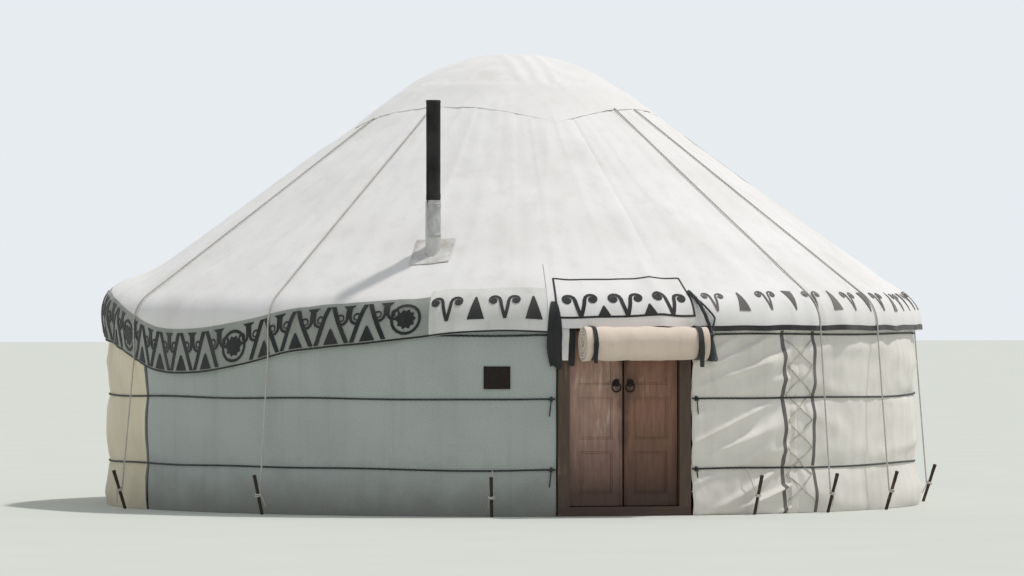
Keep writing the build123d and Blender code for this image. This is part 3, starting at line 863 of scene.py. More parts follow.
# %% [markdown]
# The roof cover is four great pieces of canvas over felt. Each is cut as a rectangle here and
# gathered towards the crown by its place, with a seam every 15 degrees where the gores are sewn.
# Real gores are cut to the taper. Over the door and round the pipe the cloth is cut away while it
# is still flat.

# %% Roof cover
roof_lift = -0.0033
roof_thickness = 0.014
roof_top = distance_at(0.905)
roof_steps = (0.0335, 0.044)
roof_piece_angle = 90.0
seam_angle = 15.0
seam_width = 0.016
seam_rise = 0.0028
seam_foot = 0.36
edge_sink = 0.004
notch_half = 0.50
notch_top = 1.49
pipe_low, pipe_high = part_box("stove_pipe")
pipe_x = (pipe_low.x + pipe_high.x) / 2
pipe_y = (pipe_low.y + pipe_high.y) / 2
pipe_hole = 0.072


def seam_ridge(angle, radius):
    """1 along a sewn seam between two gores."""
    off = (np.asarray(angle) + seam_angle / 2) % seam_angle - seam_angle / 2
    return bell(np.radians(off) * radius, seam_width)


def cut_away(piece, chosen):
    """Deletes the faces of a flat cloth whose middles are chosen(middle), before it is hung."""
    opened(piece, "DESELECT")
    bpy.ops.mesh.select_mode(type="FACE")
    closed()
    for face in piece.data.polygons:
        face.select = bool(chosen(face.center))
    bpy.ops.object.mode_set(mode="EDIT")
    bpy.ops.mesh.delete(type="FACE")
    closed()


def roof_piece(name, start, nodes):
    """One quarter of the roof cover, cut away over the door and round the stove pipe."""
    span = math.radians(roof_piece_angle) * eave_radius
    piece = flat_cloth(name, span, roof_top, *roof_steps)

    def in_opening(point):
        radius, height = roof_line(point.y)
        x, y, _ = around(start + point.x / span * roof_piece_angle, radius, height)
        over_door = abs(x) < notch_half and y < 0 and height < notch_top
        return over_door or math.hypot(x - pipe_x, y - pipe_y) < pipe_hole

    def place(x, y):
        angle = start + x / span * roof_piece_angle
        radius, _ = roof_line(y)
        edge = bell(np.minimum(x, span - x), 0.02)
        lift = roof_lift + seam_rise * seam_ridge(angle, radius) * (y > seam_foot) - edge_sink * edge
        return on_roof(angle, y, lift)

    cut_away(piece, in_opening)
    thickened(carried(piece, place), roof_thickness)
    belongs(smooth(piece), white_canvas, nodes=nodes)
    return piece


roof_pieces = [
    roof_piece("roof_front_left", -82.5, ["roof_cover_6", "roof_cover_5"]),
    roof_piece("roof_front_right", 7.5, ["roof_cover_1", "roof_cover_2"]),
    roof_piece("roof_back_right", 97.5, ["roof_cover_3"]),
    roof_piece("roof_back_left", 187.5, ["roof_cover_4"]),
]
print(len(roof_pieces), "pieces of roof cover")

# %% [markdown]
# Over the crown lies a square cloth that the people of the yurt can pull aside. It sits on bent
# bars that cross in two sets of three, so it domes up and shows a ridge over each bar, and its
# four corners reach further down the roof than its sides. A square grid bulged to a rounded
# square keeps the threads of the cloth straight from corner to corner.

# %% Crown cover
crown_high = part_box("crown_cover")[1]
crown_half = 1.10
crown_step = 0.026
corner_pull = 0.17
crown_turn = 45.0
crown_crease = 0.90
crown_thickness = 0.005
crown_lift = 0.0035
dome_edge_height = roof_line(distance_at(crown_crease), 0.009)[1]
dome_rise = crown_high.z - dome_edge_height
dome_radius = (crown_crease**2 + dome_rise**2) / (2 * dome_rise)
bar_offsets = (-0.14, 0.0, 0.14)
bar_width = 0.035
ring_reach = 0.87
ring_width = 0.05


def crown_place(x, y):
    """Places on the outer face of the crown cover, from places on the flat square cloth."""
    u = x / crown_half
    v = y / crown_half
    flat_x = x * (1 - corner_pull * v**2)
    flat_y = y * (1 - corner_pull * u**2)
    radius = np.hypot(flat_x, flat_y)
    angle = np.degrees(np.arctan2(flat_x, -flat_y)) + crown_turn
    safe = np.clip(radius, 0, crown_crease)
    dome = crown_high.z - dome_radius + np.sqrt(dome_radius**2 - safe**2)
    east = radius * np.sin(np.radians(angle))
    north = -radius * np.cos(np.radians(angle))
    carried_up = bell(radius - ring_reach, ring_width)
    for offset in bar_offsets:
        carried_up = np.maximum(carried_up, bell(east - offset, bar_width))
        carried_up = np.maximum(carried_up, bell(north - offset, bar_width))
    sag = 0.016 * (1 - carried_up) + 0.005 * creases(xyz(x, y, 0), 41, 0.35) - 0.005
    dome = dome - 0.003 - np.maximum(sag, 0) * (radius < crown_crease)
    slope = on_roof(angle, distance_at(radius), crown_lift)
    edge_flutter = 0.004 * np.maximum(ripples(xyz(x, y, 0), 42, 0.3), 0) * bell(radius - 1.15, 0.12)
    share = eased(np.clip((radius - crown_crease + 0.03) / 0.06, 0, 1))
    return xyz(east, north, dome * (1 - share) + (slope[:, 2] + edge_flutter) * share)


crown_cloth = flat_cloth("crown_cloth", 2 * crown_half, 2 * crown_half, crown_step)
carried(crown_cloth, lambda x, y: crown_place(x - crown_half, y - crown_half))
thickened(crown_cloth, crown_thickness)
belongs(smooth(crown_cloth), white_canvas, nodes=["crown_cover"])
print("crown cloth top", round(float(points_of(crown_cloth)[:, 2].max()), 3))

# %% [markdown]
# The eave band is a strip of cloth sewn all over with ram's horns cut from dark cloth. It lies on
# the roof cover's lower edge and runs round from one side of the door to the other. Left of the
# door it is an older, grey strip; on the rest of the yurt it is wider and as white as the roof.

# %% Eave band
band_thickness = 0.003
band_step = 0.03
band_half_gap = math.degrees(math.asin(0.556 / eave_radius))
grey_band_start = -128
grey_band_end = -26.5
grey_band_height = 0.325
door_band_height = 0.400
white_band_height = 0.470
white_band_seam = 118
braid_foot = 0.002
braid_lift = 0.0022
braid_thickness = 0.002


def strip(name, start, end, bottom, height, lift, step, thickness):
    """A strip of cloth carried onto the roof between two angles."""
    span = math.radians(end - start) * eave_radius
    piece = flat_cloth(name, span, height, step, min(step, height / 2))
    carried(piece, lambda x, y: on_roof(start + np.degrees(x / eave_radius), bottom + y, lift))
    return smooth(thickened(piece, thickness)), span


def band_part(name, start, end, height, finish, braid_height, nodes=()):
    """One length of the eave band with a dark braid sewn along its hem."""
    piece, span = strip(name, start, end, 0.0, height, 0.0, band_step, band_thickness)
    belongs(piece, finish, nodes=nodes)
    braid, _ = strip(
        name + "_braid", start, end, braid_foot, braid_height, braid_lift, band_step, braid_thickness
    )
    belongs(braid, dark_cloth)
    return {"cloth": piece, "cut": (span, height), "trims": [braid]}


band_left = band_part(
    "band_left", grey_band_start, grey_band_end, grey_band_height, grey_canvas, 0.014, ["eave_band"]
)
band_door = band_part("band_door", grey_band_end, -band_half_gap, door_band_height, band_canvas, 0.014)
band_right = band_part("band_right", band_half_gap, white_band_seam, white_band_height, white_canvas, 0.040)
band_back = band_part(
    "band_back", white_band_seam, grey_band_start + 360, white_band_height, white_canvas, 0.030
)

# %% [markdown]
# All the ornament is cut from cloth and sewn on, and it grows from one thing, a curl. It could be
# drawn as a curve and filled, but extruding shows better how it is built: a short edge is pulled
# out into a stem, then turned about a centre and shrunk again and again, so the ribbon winds in
# and narrows. Mirrored it is a ram's horn, on a stem or, with its feet drawn together, open.

# %% A curl and a disc
horn_steps = 16
horn_turn = 30.0
horn_shrink = 0.93
stem_steps = 4
petals = 10


def select_by_place(piece, chosen):
    """Selects the vertices for which chosen(point) holds, and stays in edit mode."""
    closed()
    mesh = piece.data
    for vertex in mesh.vertices:
        vertex.select = bool(chosen(vertex.co))
    for edge in mesh.edges:
        edge.select = all(mesh.vertices[i].select for i in edge.vertices)
    for face in mesh.polygons:
        face.select = all(mesh.vertices[i].select for i in face.vertices)
    bpy.ops.object.mode_set(mode="EDIT")


def curl(name, stem, reach, ribbon):
    """A flat ribbon that rises from the middle and winds into a curl on its right."""
    riser = stem / stem_steps
    bpy.ops.mesh.primitive_plane_add(size=1)
    piece = bpy.context.object
    piece.name = name
    set_points(piece, points_of(piece) * (ribbon, riser, 1) + (0, riser / 2, 0))
    bpy.ops.object.mode_set(mode="EDIT")
    bpy.ops.mesh.select_mode(type="VERT")
    select_by_place(piece, lambda point: point.y > riser * 0.9)
    for step in range(stem_steps - 1):
        bpy.ops.mesh.extrude_region_move(TRANSFORM_OT_translate={"value": (0, riser, 0)})
    centre = Vector((reach, stem, 0))
    for step in range(horn_steps):
        bpy.ops.mesh.extrude_region_move(TRANSFORM_OT_translate={"value": (0, 0, 0)})
        bpy.ops.transform.rotate(
            value=math.radians(horn_turn), orient_axis="Z", center_override=centre
        )
        bpy.ops.transform.resize(value=(horn_shrink,) * 3, center_override=centre)
    closed()
    return piece


def dot(name, radius, scallop=0.0):
    """A flat disc round the origin, scalloped or plain."""
    bpy.ops.mesh.primitive_circle_add(vertices=2 * petals, radius=radius, fill_type="NGON")
    piece = bpy.context.object
    piece.name = name
    points = points_of(piece)
    turn = np.arctan2(points[:, 1], points[:, 0])
    set_points(piece, points * (1 - scallop * (0.5 - 0.5 * np.cos(petals * turn)))[:, None])
    return piece


print("a curl turns", horn_steps * horn_turn, "degrees")

# %% [markdown]
# Two kinds of horn come from the curl. One stands on a wide foot, and the other, whose stems
# spread from one foot, has a round eye in each curl. Mirror makes the other half of both.

# %% Horns
def ram_horn(name, width, height, ribbon):
    """Two curls on a stem with a wide foot, standing on y = 0."""
    reach = width * 0.27
    piece = curl(name, height - reach * 1.12, reach, ribbon)
    set_points(piece, points_of(piece) + (ribbon / 2, 0, 0))
    select_by_place(piece, lambda point: point.y < 0.001 and point.x > 0.001)
    bpy.ops.transform.translate(value=(ribbon * 1.2, 0, 0))
    closed()
    return modified(piece, "MIRROR", use_clip=True)


def open_horn(name, stem, spread, reach, ribbon, eye):
    """Two curls with round eyes whose stems spread from one foot, standing on y = 0."""
    piece = curl(name, stem, reach, ribbon)
    points = points_of(piece)
    drawn_in = np.clip(1 - points[:, 1] / stem, 0, 1) ** 1.3
    points[:, 0] += spread * (1 - drawn_in * (points[:, 0] < ribbon * 0.7))
    set_points(piece, points)
    middle = dot(name, eye)
    set_points(middle, points_of(middle) + (spread + reach, stem, 0))
    return modified(joined(name, [piece, middle]), "MIRROR")


# %% [markdown]
# More motifs fill the rows: a solid wedge, a chevron with a wedge under it, and a rosette of a
# scalloped disc in a ring. Each starts as a primitive and is cut or scaled.

# %% Wedge, chevron and rosette
def wedge(name, width, height):
    """A solid triangle with a blunt tip, standing on y = 0."""
    bpy.ops.mesh.primitive_grid_add(x_subdivisions=4, y_subdivisions=4, size=1)
    piece = bpy.context.object
    piece.name = name
    points = points_of(piece) + (0, 0.5, 0)
    narrowing = (1 - points[:, 1]) * 0.9 + 0.1
    set_points(piece, points * xyz(width * narrowing, height, 1))
    return piece


def chevron(name, width, height, ribbon):
    """Two slanting bars that meet at the top, and a wedge that stands between their feet."""
    bpy.ops.mesh.primitive_grid_add(x_subdivisions=1, y_subdivisions=8, size=1)
    bar = bpy.context.object
    across, up, _ = (points_of(bar) + (0.5, 0.5, 0)).T
    slant = (width / 2 - ribbon) * (1 - up)
    set_points(bar, xyz(ribbon * across + slant, up * height, 0))
    modified(bar, "MIRROR")
    return joined(name, [bar, wedge(name, width * 0.42, height * 0.42)])


def rosette(name, radius, height):
    """A scalloped disc inside a ring, its middle at a height."""
    heart = dot(name, radius * 0.66, 0.22)
    ring = dot(name, radius)
    opened(ring)
    bpy.ops.mesh.inset(thickness=radius * 0.18)
    bpy.ops.mesh.delete(type="FACE")
    closed()
    piece = joined(name, [heart, ring])
    set_points(piece, points_of(piece) + (0, height, 0))
    return piece


def upside_down(piece, top):
    """Turns a flat motif about so that it hangs from a height."""
    piece.data.transform(Matrix.Translation((0, top, 0)) @ Matrix.Rotation(math.pi, 4, "Z"))
    return piece


print("a rosette has", petals, "petals")

# %% [markdown]
# A row is one motif copied to its places along the hem while all is still flat, given a UV map in
# metres, and then carried onto the roof cloth as the band itself was.

# %% Sewing on a row
scroll_lift = 0.0035
scroll_thickness = 0.0022


def flat_map(piece):
    """A UV map in metres from the flat shape's own x and y."""
    mesh = piece.data
    if not mesh.uv_layers:
        mesh.uv_layers.new(name="UVMap")
    corners = np.empty(len(mesh.loops), dtype=int)
    mesh.loops.foreach_get("vertex_index", corners)
    mesh.uv_layers.active.data.foreach_set("uv", points_of(piece)[corners, :2].ravel())


def faces_up(piece):
    """Turns the faces of a flat shape upwards."""
    opened(piece)
    bpy.ops.mesh.normals_make_consistent(inside=False)
    closed()
    for face in piece.data.polygons:
        face.select = face.normal.z < 0
    bpy.ops.object.mode_set(mode="EDIT")
    bpy.ops.mesh.flip_normals()
    closed()


def sewn_row(motif, places, start, foot, lift=scroll_lift, finish=dark_cloth):
    """Copies a flat motif to places in metres from an angle, and lays the row on the roof cloth."""
    name = motif.name
    copies = [copy_of(motif, name, Matrix.Translation((along, foot, 0))) for along in places]
    bpy.data.objects.remove(motif)
    row = joined(name, copies)
    faces_up(row)
    flat_map(row)
    carried(row, lambda x, y: on_roof(start + np.degrees(x / eave_radius), y, lift))
    thickened(row, scroll_thickness)
    return belongs(smooth(row, 30), finish)


print("ornament lies", scroll_lift, "m off the roof cloth")

# %% [markdown]
# Left of the door the band is grey and thick with chevrons, horns that hang between them and a
# rosette in every fifth place, so it looks nearly black from afar. Beside the door open horns and
# wedges stand by turns on white cloth. On the rest of the yurt they are thinner and faded, and
# every other wedge hangs.

# %% Ornament beside the door
unit = 0.30
left_count = 19
low_foot = 0.024
chevron_height = 0.272
lefts = np.arange(left_count) * unit + 0.18
is_rosette = np.arange(left_count) % 5 == 3
left_chevron = chevron("chevrons_left", unit * 0.98, chevron_height, 0.036)
left_horn = upside_down(ram_horn("horns_left", 0.190, 0.150, 0.024), chevron_height)
band_left["trims"] += [
    sewn_row(left_chevron, lefts[~is_rosette], grey_band_start, low_foot),
    sewn_row(rosette("rosettes_left", 0.118, 0.130), lefts[is_rosette], grey_band_start, low_foot),
    sewn_row(left_horn, lefts[1:] - unit / 2, grey_band_start, low_foot),
]

door_foot = 0.100
horn_spots = np.array([0.135, 0.575])
wedge_spots = np.array([0.355, 0.795])
door_horn = open_horn("horns_door", 0.150, 0.032, 0.050, 0.024, 0.022)
band_door["trims"] += [
    sewn_row(door_horn, horn_spots, grey_band_end, door_foot),
    sewn_row(wedge("wedges_door", 0.130, 0.190), wedge_spots, grey_band_end, door_foot),
]
print("rosettes at", lefts[is_rosette].round(2), "m")

# %% [markdown]
# Past the door the white band goes round the right and the back with one sparse pattern, so one
# function sews it on both lengths.

# %% Ornament of the white band
spare = 0.25
spare_start = 0.20
spare_foot = 0.155
spare_height = 0.185


def spare_rows(side, start, count):
    """Faded horns and wedges along one length of the white band."""
    places = np.arange(count) * spare + spare_start
    horn = open_horn("horns_" + side, 0.140, 0.026, 0.042, 0.016, 0.017)
    standing = wedge("wedges_" + side, 0.105, spare_height)
    hanging = upside_down(wedge("wedges_hanging_" + side, 0.105, spare_height), spare_height)
    return [
        sewn_row(horn, places[0::2], start, spare_foot, finish=faded_cloth),
        sewn_row(standing, places[1::4], start, spare_foot, finish=faded_cloth),
        sewn_row(hanging, places[3::4], start, spare_foot, finish=faded_cloth),
    ]


band_right["trims"] += spare_rows("right", band_half_gap, 24)
band_back["trims"] += spare_rows("back", white_band_seam, 25)

# %% [markdown]
# Over the door the curtain starts on the roof as a flap, framed by thin dark lines and sewn with
# three pairs of open horns on a line, with wedges between them. Its lower part is rolled up, so
# the flap ends where the roll begins.

# %% Flap of the door curtain
flap_half_angle = 10.6
flap_bottom = 0.040
flap_top = distance_at(2.80)
flap_lift = 0.0046
flap_step = 0.025
flap_thickness = 0.004
flap_line = 0.016
line_thickness = 0.002
sewn_lift = flap_lift + 0.0024
framed_start = -9.6
framed_end = 9.9

flap_length = flap_top - flap_bottom
flap, flap_span = strip(
    "flap_cloth", -flap_half_angle, flap_half_angle, flap_bottom, flap_length, flap_lift, flap_step,
    flap_thickness,
)
belongs(flap, white_canvas, nodes=["curtain_flap"])


def flap_strip(name, start, end, bottom, height):
    """A strip of dark cloth sewn on the flap."""
    piece, _ = strip(name, start, end, bottom, height, sewn_lift, flap_step, line_thickness)
    return belongs(piece, dark_cloth)


line_angle = math.degrees(flap_line / eave_radius)
line_top = distance_at(2.97)
horn_foot = 0.118
side_line = line_top - horn_foot
horn_places = np.array([0.193, 0.553, 0.913])
wedge_places = horn_places[:2] + 0.18
flap_horn = open_horn("flap_horns", 0.150, 0.038, 0.056, 0.030, 0.026)
flap_trims = [
    flap_strip("flap_line_top", framed_start, framed_end, line_top, flap_line),
    flap_strip("flap_line_left", framed_start, framed_start + line_angle, horn_foot, side_line),
    flap_strip("flap_line_right", framed_end - line_angle, framed_end, horn_foot, side_line),
    flap_strip("flap_line_low", framed_start, framed_end, horn_foot - 0.006, flap_line),
    sewn_row(flap_horn, horn_places, framed_start, horn_foot, sewn_lift),
    sewn_row(wedge("flap_wedges", 0.110, 0.090), wedge_places, framed_start, horn_foot, sewn_lift),
]
print("flap", round(flap_span, 2), "by", round(flap_length, 2), "m")

# %% [markdown]
# The rest of the curtain is a thick felt, rolled up and tied in front of the lintel. From the end
# one sees it wound in a spiral, so it is made as one: a flat felt whose length is carried along a
# spiral that tightens by its own thickness with each turn. The ties pinch it a little.

# %% Rolled curtain
roll_low, roll_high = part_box("curtain_roll")
roll_axis_y = (roll_low.y + roll_high.y) / 2
roll_axis_z = (roll_low.z + roll_high.z) / 2
roll_radius = (roll_high.z - roll_low.z) / 2 - 0.003
roll_length = roll_high.x - roll_low.x
roll_core = 0.018
roll_inset = 0.030
roll_turn_gap = 0.0215
roll_steps = (0.028, 0.0125)
roll_pinch = 0.06
roll_squash = 0.035
felt_thickness = 0.015
tie_places = (-0.3, 0.5)
roll_turns = (roll_radius - roll_core) / roll_turn_gap
felt_length = math.pi * roll_turns * (roll_radius + roll_core)


def roll_place(x, y):
    """Places on the felt's outer face: x along the roll, y from its core outwards."""
    share = y / felt_length
    radius = np.sqrt(roll_core**2 + share * (roll_radius**2 - roll_core**2))
    turned = 2 * math.pi * (roll_radius - radius) / roll_turn_gap
    space = xyz(x, np.cos(turned) * radius, np.sin(turned) * radius)
    pinch = roll_pinch * sum(bell(x + roll_low.x - tie, 0.035) for tie in tie_places)
    outer = radius * (1 - pinch) + 0.003 * ripples(space, 51, 0.25) - 0.004 * creases(space, 52, 0.2)
    wander = 0.012 * np.sin(turned * 0.31 + 1.0)
    along = roll_low.x + roll_inset + x * (1 - 1.4 * roll_inset / roll_length) + wander * (share - 0.5)
    squash = 1 - roll_squash * np.cos(turned * 2)
    y_out = roll_axis_y + np.sin(turned + 0.5) * outer * 0.99
    z_out = roll_axis_z + np.cos(turned + 0.5) * outer * squash * 0.975
    return xyz(along, y_out, z_out)


roll = flat_cloth("curtain_felt_roll", roll_length, felt_length, *roll_steps)
carried(roll, roll_place)
thickened(roll, felt_thickness)
smooth(roll, 60)
belongs(roll, curtain_felt, nodes=["curtain_roll"])
print("felt", round(roll_length, 2), "by", round(felt_length, 2), "m")

# %% [markdown]
# The ropes are laid from three strands. A plain tube with a striped finish would do from afar,
# but a strand is a real ridge, so the rope is a flat strip rolled up into a tube with three lobes
# that turn as it goes along. Its seam is merged and its ends are closed.

# %% Making rope
strands = 3
strand_depth = 0.16
rope_sides = 9
ring_spacing = 0.016
lay_length = 7.5


def even_path(points, spacing):
    """Points at even distances along a line."""
    points = np.asarray(points, float)
    steps = np.linalg.norm(np.diff(points, axis=0), axis=1)
    reached = np.concatenate([[0], np.cumsum(steps)])
    count = max(2, int(reached[-1] / spacing) + 1)
    wanted = np.linspace(0, reached[-1], count)
    return np.stack([np.interp(wanted, reached, points[:, axis]) for axis in range(3)], axis=-1)


def frames_along(path):
    """At each point of a path: two directions square to it that don't twist."""
    ahead = np.gradient(path, axis=0)
    ahead /= np.linalg.norm(ahead, axis=1)[:, None]
    start = np.cross(ahead[0], (0.31, 0.22, 0.93))
    sides = [start / np.linalg.norm(start)]
    for direction in ahead[1:]:
        side = sides[-1] - direction * (sides[-1] @ direction)
        sides.append(side / np.linalg.norm(side))
    sides = np.array(sides)
    return sides, np.cross(ahead, sides)


def rope_along(name, points, radius):
    """A laid rope along a line, as a closed mesh with a UV map in metres."""
    path = even_path(points, ring_spacing)
    side, upward = frames_along(path)
    spans = len(path) - 1
    length = ring_spacing * spans
    girdle = 2 * math.pi * radius
    piece = flat_cloth(name, girdle, length, girdle / rope_sides, length / spans)
    flat = points_of(piece)
    ring = np.clip(np.round(flat[:, 1] / length * spans).astype(int), 0, spans)
    turn = flat[:, 0] / radius
    lay = 2 * math.pi * flat[:, 1] / (lay_length * 2 * radius)
    reach = radius * (1 - strand_depth / 2 + strand_depth / 2 * np.cos(strands * turn))
    spin = turn + lay
    offset = np.cos(spin)[:, None] * side[ring] + np.sin(spin)[:, None] * upward[ring]
    set_points(piece, path[ring] + offset * reach[:, None])
    opened(piece)
    bpy.ops.mesh.remove_doubles(threshold=0.0001)
    bpy.ops.mesh.select_all(action="DESELECT")
    bpy.ops.mesh.select_mode(type="EDGE")
    bpy.ops.mesh.select_non_manifold()
    bpy.ops.mesh.edge_face_add()
    bpy.ops.mesh.select_all(action="SELECT")
    bpy.ops.mesh.normals_make_consistent(inside=False)
    closed()
    return smooth(piece, 60)


print("the strands turn once in", lay_length, "diameters")

# %% [markdown]
# Three dark girth ropes hold the wall cover. Each is a horizontal ring open at the door, and it
# dips and rises a little as a hand-tied rope does.

# %% Girth ropes
girth_radius = 0.008
girth_ring = 3.2168
girth_half_gap = 9.62
girth_points = 900
girth_seed = 60


def girth(height, seed):
    """One rope round the wall from door post to door post."""
    angle = np.linspace(girth_half_gap, 360 - girth_half_gap, girth_points)
    ring = around(angle, girth_ring, 0.0)
    ends = 1 - bell(np.minimum(angle - girth_half_gap, 360 - girth_half_gap - angle), 5)
    wander = 0.007 * ripples(ring, seed, 1.6) * ends
    return rope_along("girth", around(angle, girth_ring, height + wander), girth_radius)


girths = [girth(height, girth_seed + place) for place, height in enumerate(rope_heights)]
belongs(joined("girth_ropes", girths), dark_rope, nodes=["wall_ropes"])

# %% [markdown]
# Pale ropes run from under the crown cover down the roof and over the eave to the pegs. They lie
# on the cloth, so their line is read from the same roof function, lifted by a little more than
# their own radius, and below the hem they run straight to a peg. Each starts just inside the
# crown cover's edge, which reaches further down at its four corners. Two short ropes beside the
# door run from the lowest girth rope to pegs of their own.

# %% Ropes over the roof
tie_radius = 0.007
tie_lift = 0.0085
tie_start = 1.11
corner_reach = 0.175
corner_width = 13
short_tie_radius = 0.005
short_tie_ring = 3.2332
short_tie_angles = (-18, 18)
peg_angles = tie_rope_angles + short_tie_angles
peg_foot = 3.330
peg_lean = math.radians(18)
peg_radius = 0.014
peg_tie_height = 0.150
peg_tie_reach = peg_foot + peg_tie_height * math.tan(peg_lean)
peg_tie_end = peg_tie_reach - peg_radius / math.cos(peg_lean) - tie_radius


def tie_line(angle):
    """Points of one rope from the crown cover to its peg."""
    from_corner = (angle + 45) % 90 - 45
    start = distance_at(tie_start + corner_reach * bell(from_corner, corner_width))
    distance = np.linspace(start, 0.0, 160)
    wander = 0.25 * np.sin(distance * 2.1 + angle) * (distance / start) * (1 - distance / start)
    on_cloth = on_roof(angle + wander, distance, tie_lift)
    hem = on_cloth[-1]
    peg = around(angle, peg_tie_end, peg_tie_height)
    share = np.linspace(0, 1, 60)[1:, None]
    return np.concatenate([on_cloth, hem * (1 - share) + peg * share])


ties = [rope_along("tie", tie_line(angle), tie_radius) for angle in tie_rope_angles]
for angle in short_tie_angles:
    wall_end = around(angle, short_tie_ring, rope_heights[0] - 0.004)
    peg_end = around(angle, peg_tie_end, peg_tie_height)
    ties.append(rope_along("tie", np.linspace(wall_end, peg_end, 12), short_tie_radius))
belongs(joined("roof_ropes", ties), pale_rope, nodes=["tie_ropes"])

# %% [markdown]
# Each rope ends in two turns round its peg and a loose tail. A torus is the plain way to make a
# turn of rope; two of them, a little apart and tilted, with a short tail, are one hitch, and it is
# copied to every peg. The same hitch in small ties the girth ropes off at the door posts.

# %% Hitches
hitch_radius = 0.006
hitch_tail = 0.09


def hitch(name, inner, rope, tail):
    """Two turns of rope round an upright post at the origin, with a tail that hangs down."""
    turns = []
    for place, tilt in ((-0.9, 5), (0.9, -6)):
        bpy.ops.mesh.primitive_torus_add(
            major_radius=inner + rope * 0.9,
            minor_radius=rope,
            major_segments=20,
            minor_segments=8,
            location=(0, 0, place * rope),
            rotation=(math.radians(tilt), math.radians(-tilt), 0),
        )
        turns.append(bpy.context.object)
        bpy.ops.object.transform_apply(location=True, rotation=True, scale=True)
    share = np.linspace(0, 1, 10)[:, None]
    start = np.array((inner + rope, -inner * 0.3, -rope))
    hang = start + share * (0.02, -0.012, 0) + share**1.5 * (0, 0, -tail)
    turns.append(rope_along("tail", hang, rope * 0.8))
    return joined(name, turns)


def standing_at(angle, radius, height, lean=0.0):
    """A matrix that carries an upright thing to a place round the yurt, leaning outwards."""
    turn = Matrix.Rotation(math.radians(angle) - math.pi / 2, 4, "Z")
    tip = Matrix.Rotation(lean, 4, "Y")
    return turn @ Matrix.Translation((radius, 0, height)) @ tip


def at_pegs(piece, name, radius, height, spin):
    """Copies of an upright piece at every peg, each spun a step further round; the first one goes."""
    copies = []
    for place, angle in enumerate(peg_angles):
        there = standing_at(angle, radius, height, peg_lean)
        copies.append(copy_of(piece, name, there @ Matrix.Rotation(spin * place, 4, "Z")))
    bpy.data.objects.remove(piece)
    return copies


peg_hitch = hitch("peg_hitch", peg_radius * 1.02, hitch_radius, hitch_tail)
hitches = at_pegs(peg_hitch, "peg_tie", peg_tie_reach, peg_tie_height, 2.1)
belongs(joined("peg_hitches", hitches), pale_rope)

# %% [markdown]
# The pegs are sticks cut by hand and hammered in at a slant. A cylinder is only the start: its
# head is bevelled and splayed by the mallet, and it is whittled uneven along its length.

# %% Pegs
peg_length = 0.315
peg_sides = 10
peg_cuts = 9
peg_edge = 0.0022


def whittled_peg():
    """An upright peg round the origin, uneven along its length and splayed at its head."""
    bpy.ops.mesh.primitive_cylinder_add(vertices=peg_sides, radius=peg_radius, depth=peg_length)
    peg = bpy.context.object
    opened(peg)
    bpy.ops.mesh.bisect(plane_co=(0, 0, peg_length * 0.36), plane_no=(0, 0, 1))
    for cut in range(peg_cuts):
        bpy.ops.mesh.select_all(action="SELECT")
        height = peg_length * (cut / peg_cuts - 0.47)
        tilt = (0.12 * math.sin(cut), 0.1 * math.cos(cut), 1)
        bpy.ops.mesh.bisect(plane_co=(0, 0, height), plane_no=tilt)
    closed()
    points = points_of(peg)
    whittled = np.clip(1 + 0.10 * ripples(points, 71, 0.05) - 0.03, 0.82, 1.02)
    splay = 1 + 0.16 * np.clip((points[:, 2] - peg_length * 0.42) / (peg_length * 0.08), 0, 1)
    points[:, :2] *= (whittled * splay)[:, None]
    set_points(peg, points)
    return rounded(peg, peg_edge)


peg_middle = peg_length / 2 * math.cos(peg_lean)
peg_centre = peg_foot + peg_middle * math.tan(peg_lean)
pegs = joined("ground_stakes", at_pegs(whittled_peg(), "peg", peg_centre, peg_middle, 1.3))
above_ground = (-np.inf, -np.inf, 0)
set_points(pegs, np.maximum(points_of(pegs), above_ground))
belongs(smooth(pegs, 40), peg_wood, nodes=["ground_pegs"])

# %% [markdown]
# The curtain's ties are straps of dark cloth: two go round the roll and up behind it, and one
# hangs loose at its left end, next to a strip of the curtain's white lining.

# %% Ties of the curtain
strap_thickness = 0.0035
strap_top = 1.478
behind_roll = 3.1945
before_roll = 3.3296 + roll_radius + 0.008
lining_width = 0.056


def strap_loop(name, middle, width):
    """A strap once round the roll, a little creased."""
    round_length = 2 * math.pi * roll_radius
    piece = flat_cloth(name, width, round_length, width / 4, round_length / 56)

    def place(x, y):
        turn = y / roll_radius
        reach = (roll_radius + 0.0065) * 0.972 - 0.002 * np.cos(turn * 5 + x * 90)
        squash = 1 - roll_squash * np.cos(turn * 2)
        along = middle + (x - width / 2) * (1 - 0.15 * np.sin(turn * 2) ** 2)
        y_out = roll_axis_y - np.sin(turn) * reach * 1.012
        return xyz(along, y_out, roll_axis_z - np.cos(turn) * reach * squash)

    opened(carried(piece, place))
    bpy.ops.mesh.remove_doubles(threshold=0.0003)
    closed()
    return smooth(thickened(piece, strap_thickness), 50)


def strap_tail(name, middle, width, low, high, out, wave):
    """A strap that hangs down, waving a little and fraying narrower at its end."""
    length = high - low
    piece = flat_cloth(name, width, length, width / 5, length / 22)

    def place(x, y):
        share = 1 - y / length
        across = (x - width / 2) * (1 - 0.18 * share**3)
        swing = wave * np.sin(share * 4.2 + 0.6) * share
        cupped = 0.006 * share * np.cos(across / width * 2.6)
        return xyz(middle + across + 0.35 * swing, -out - np.abs(swing) - cupped, low + y)

    carried(piece, place)
    return smooth(thickened(piece, strap_thickness), 50)


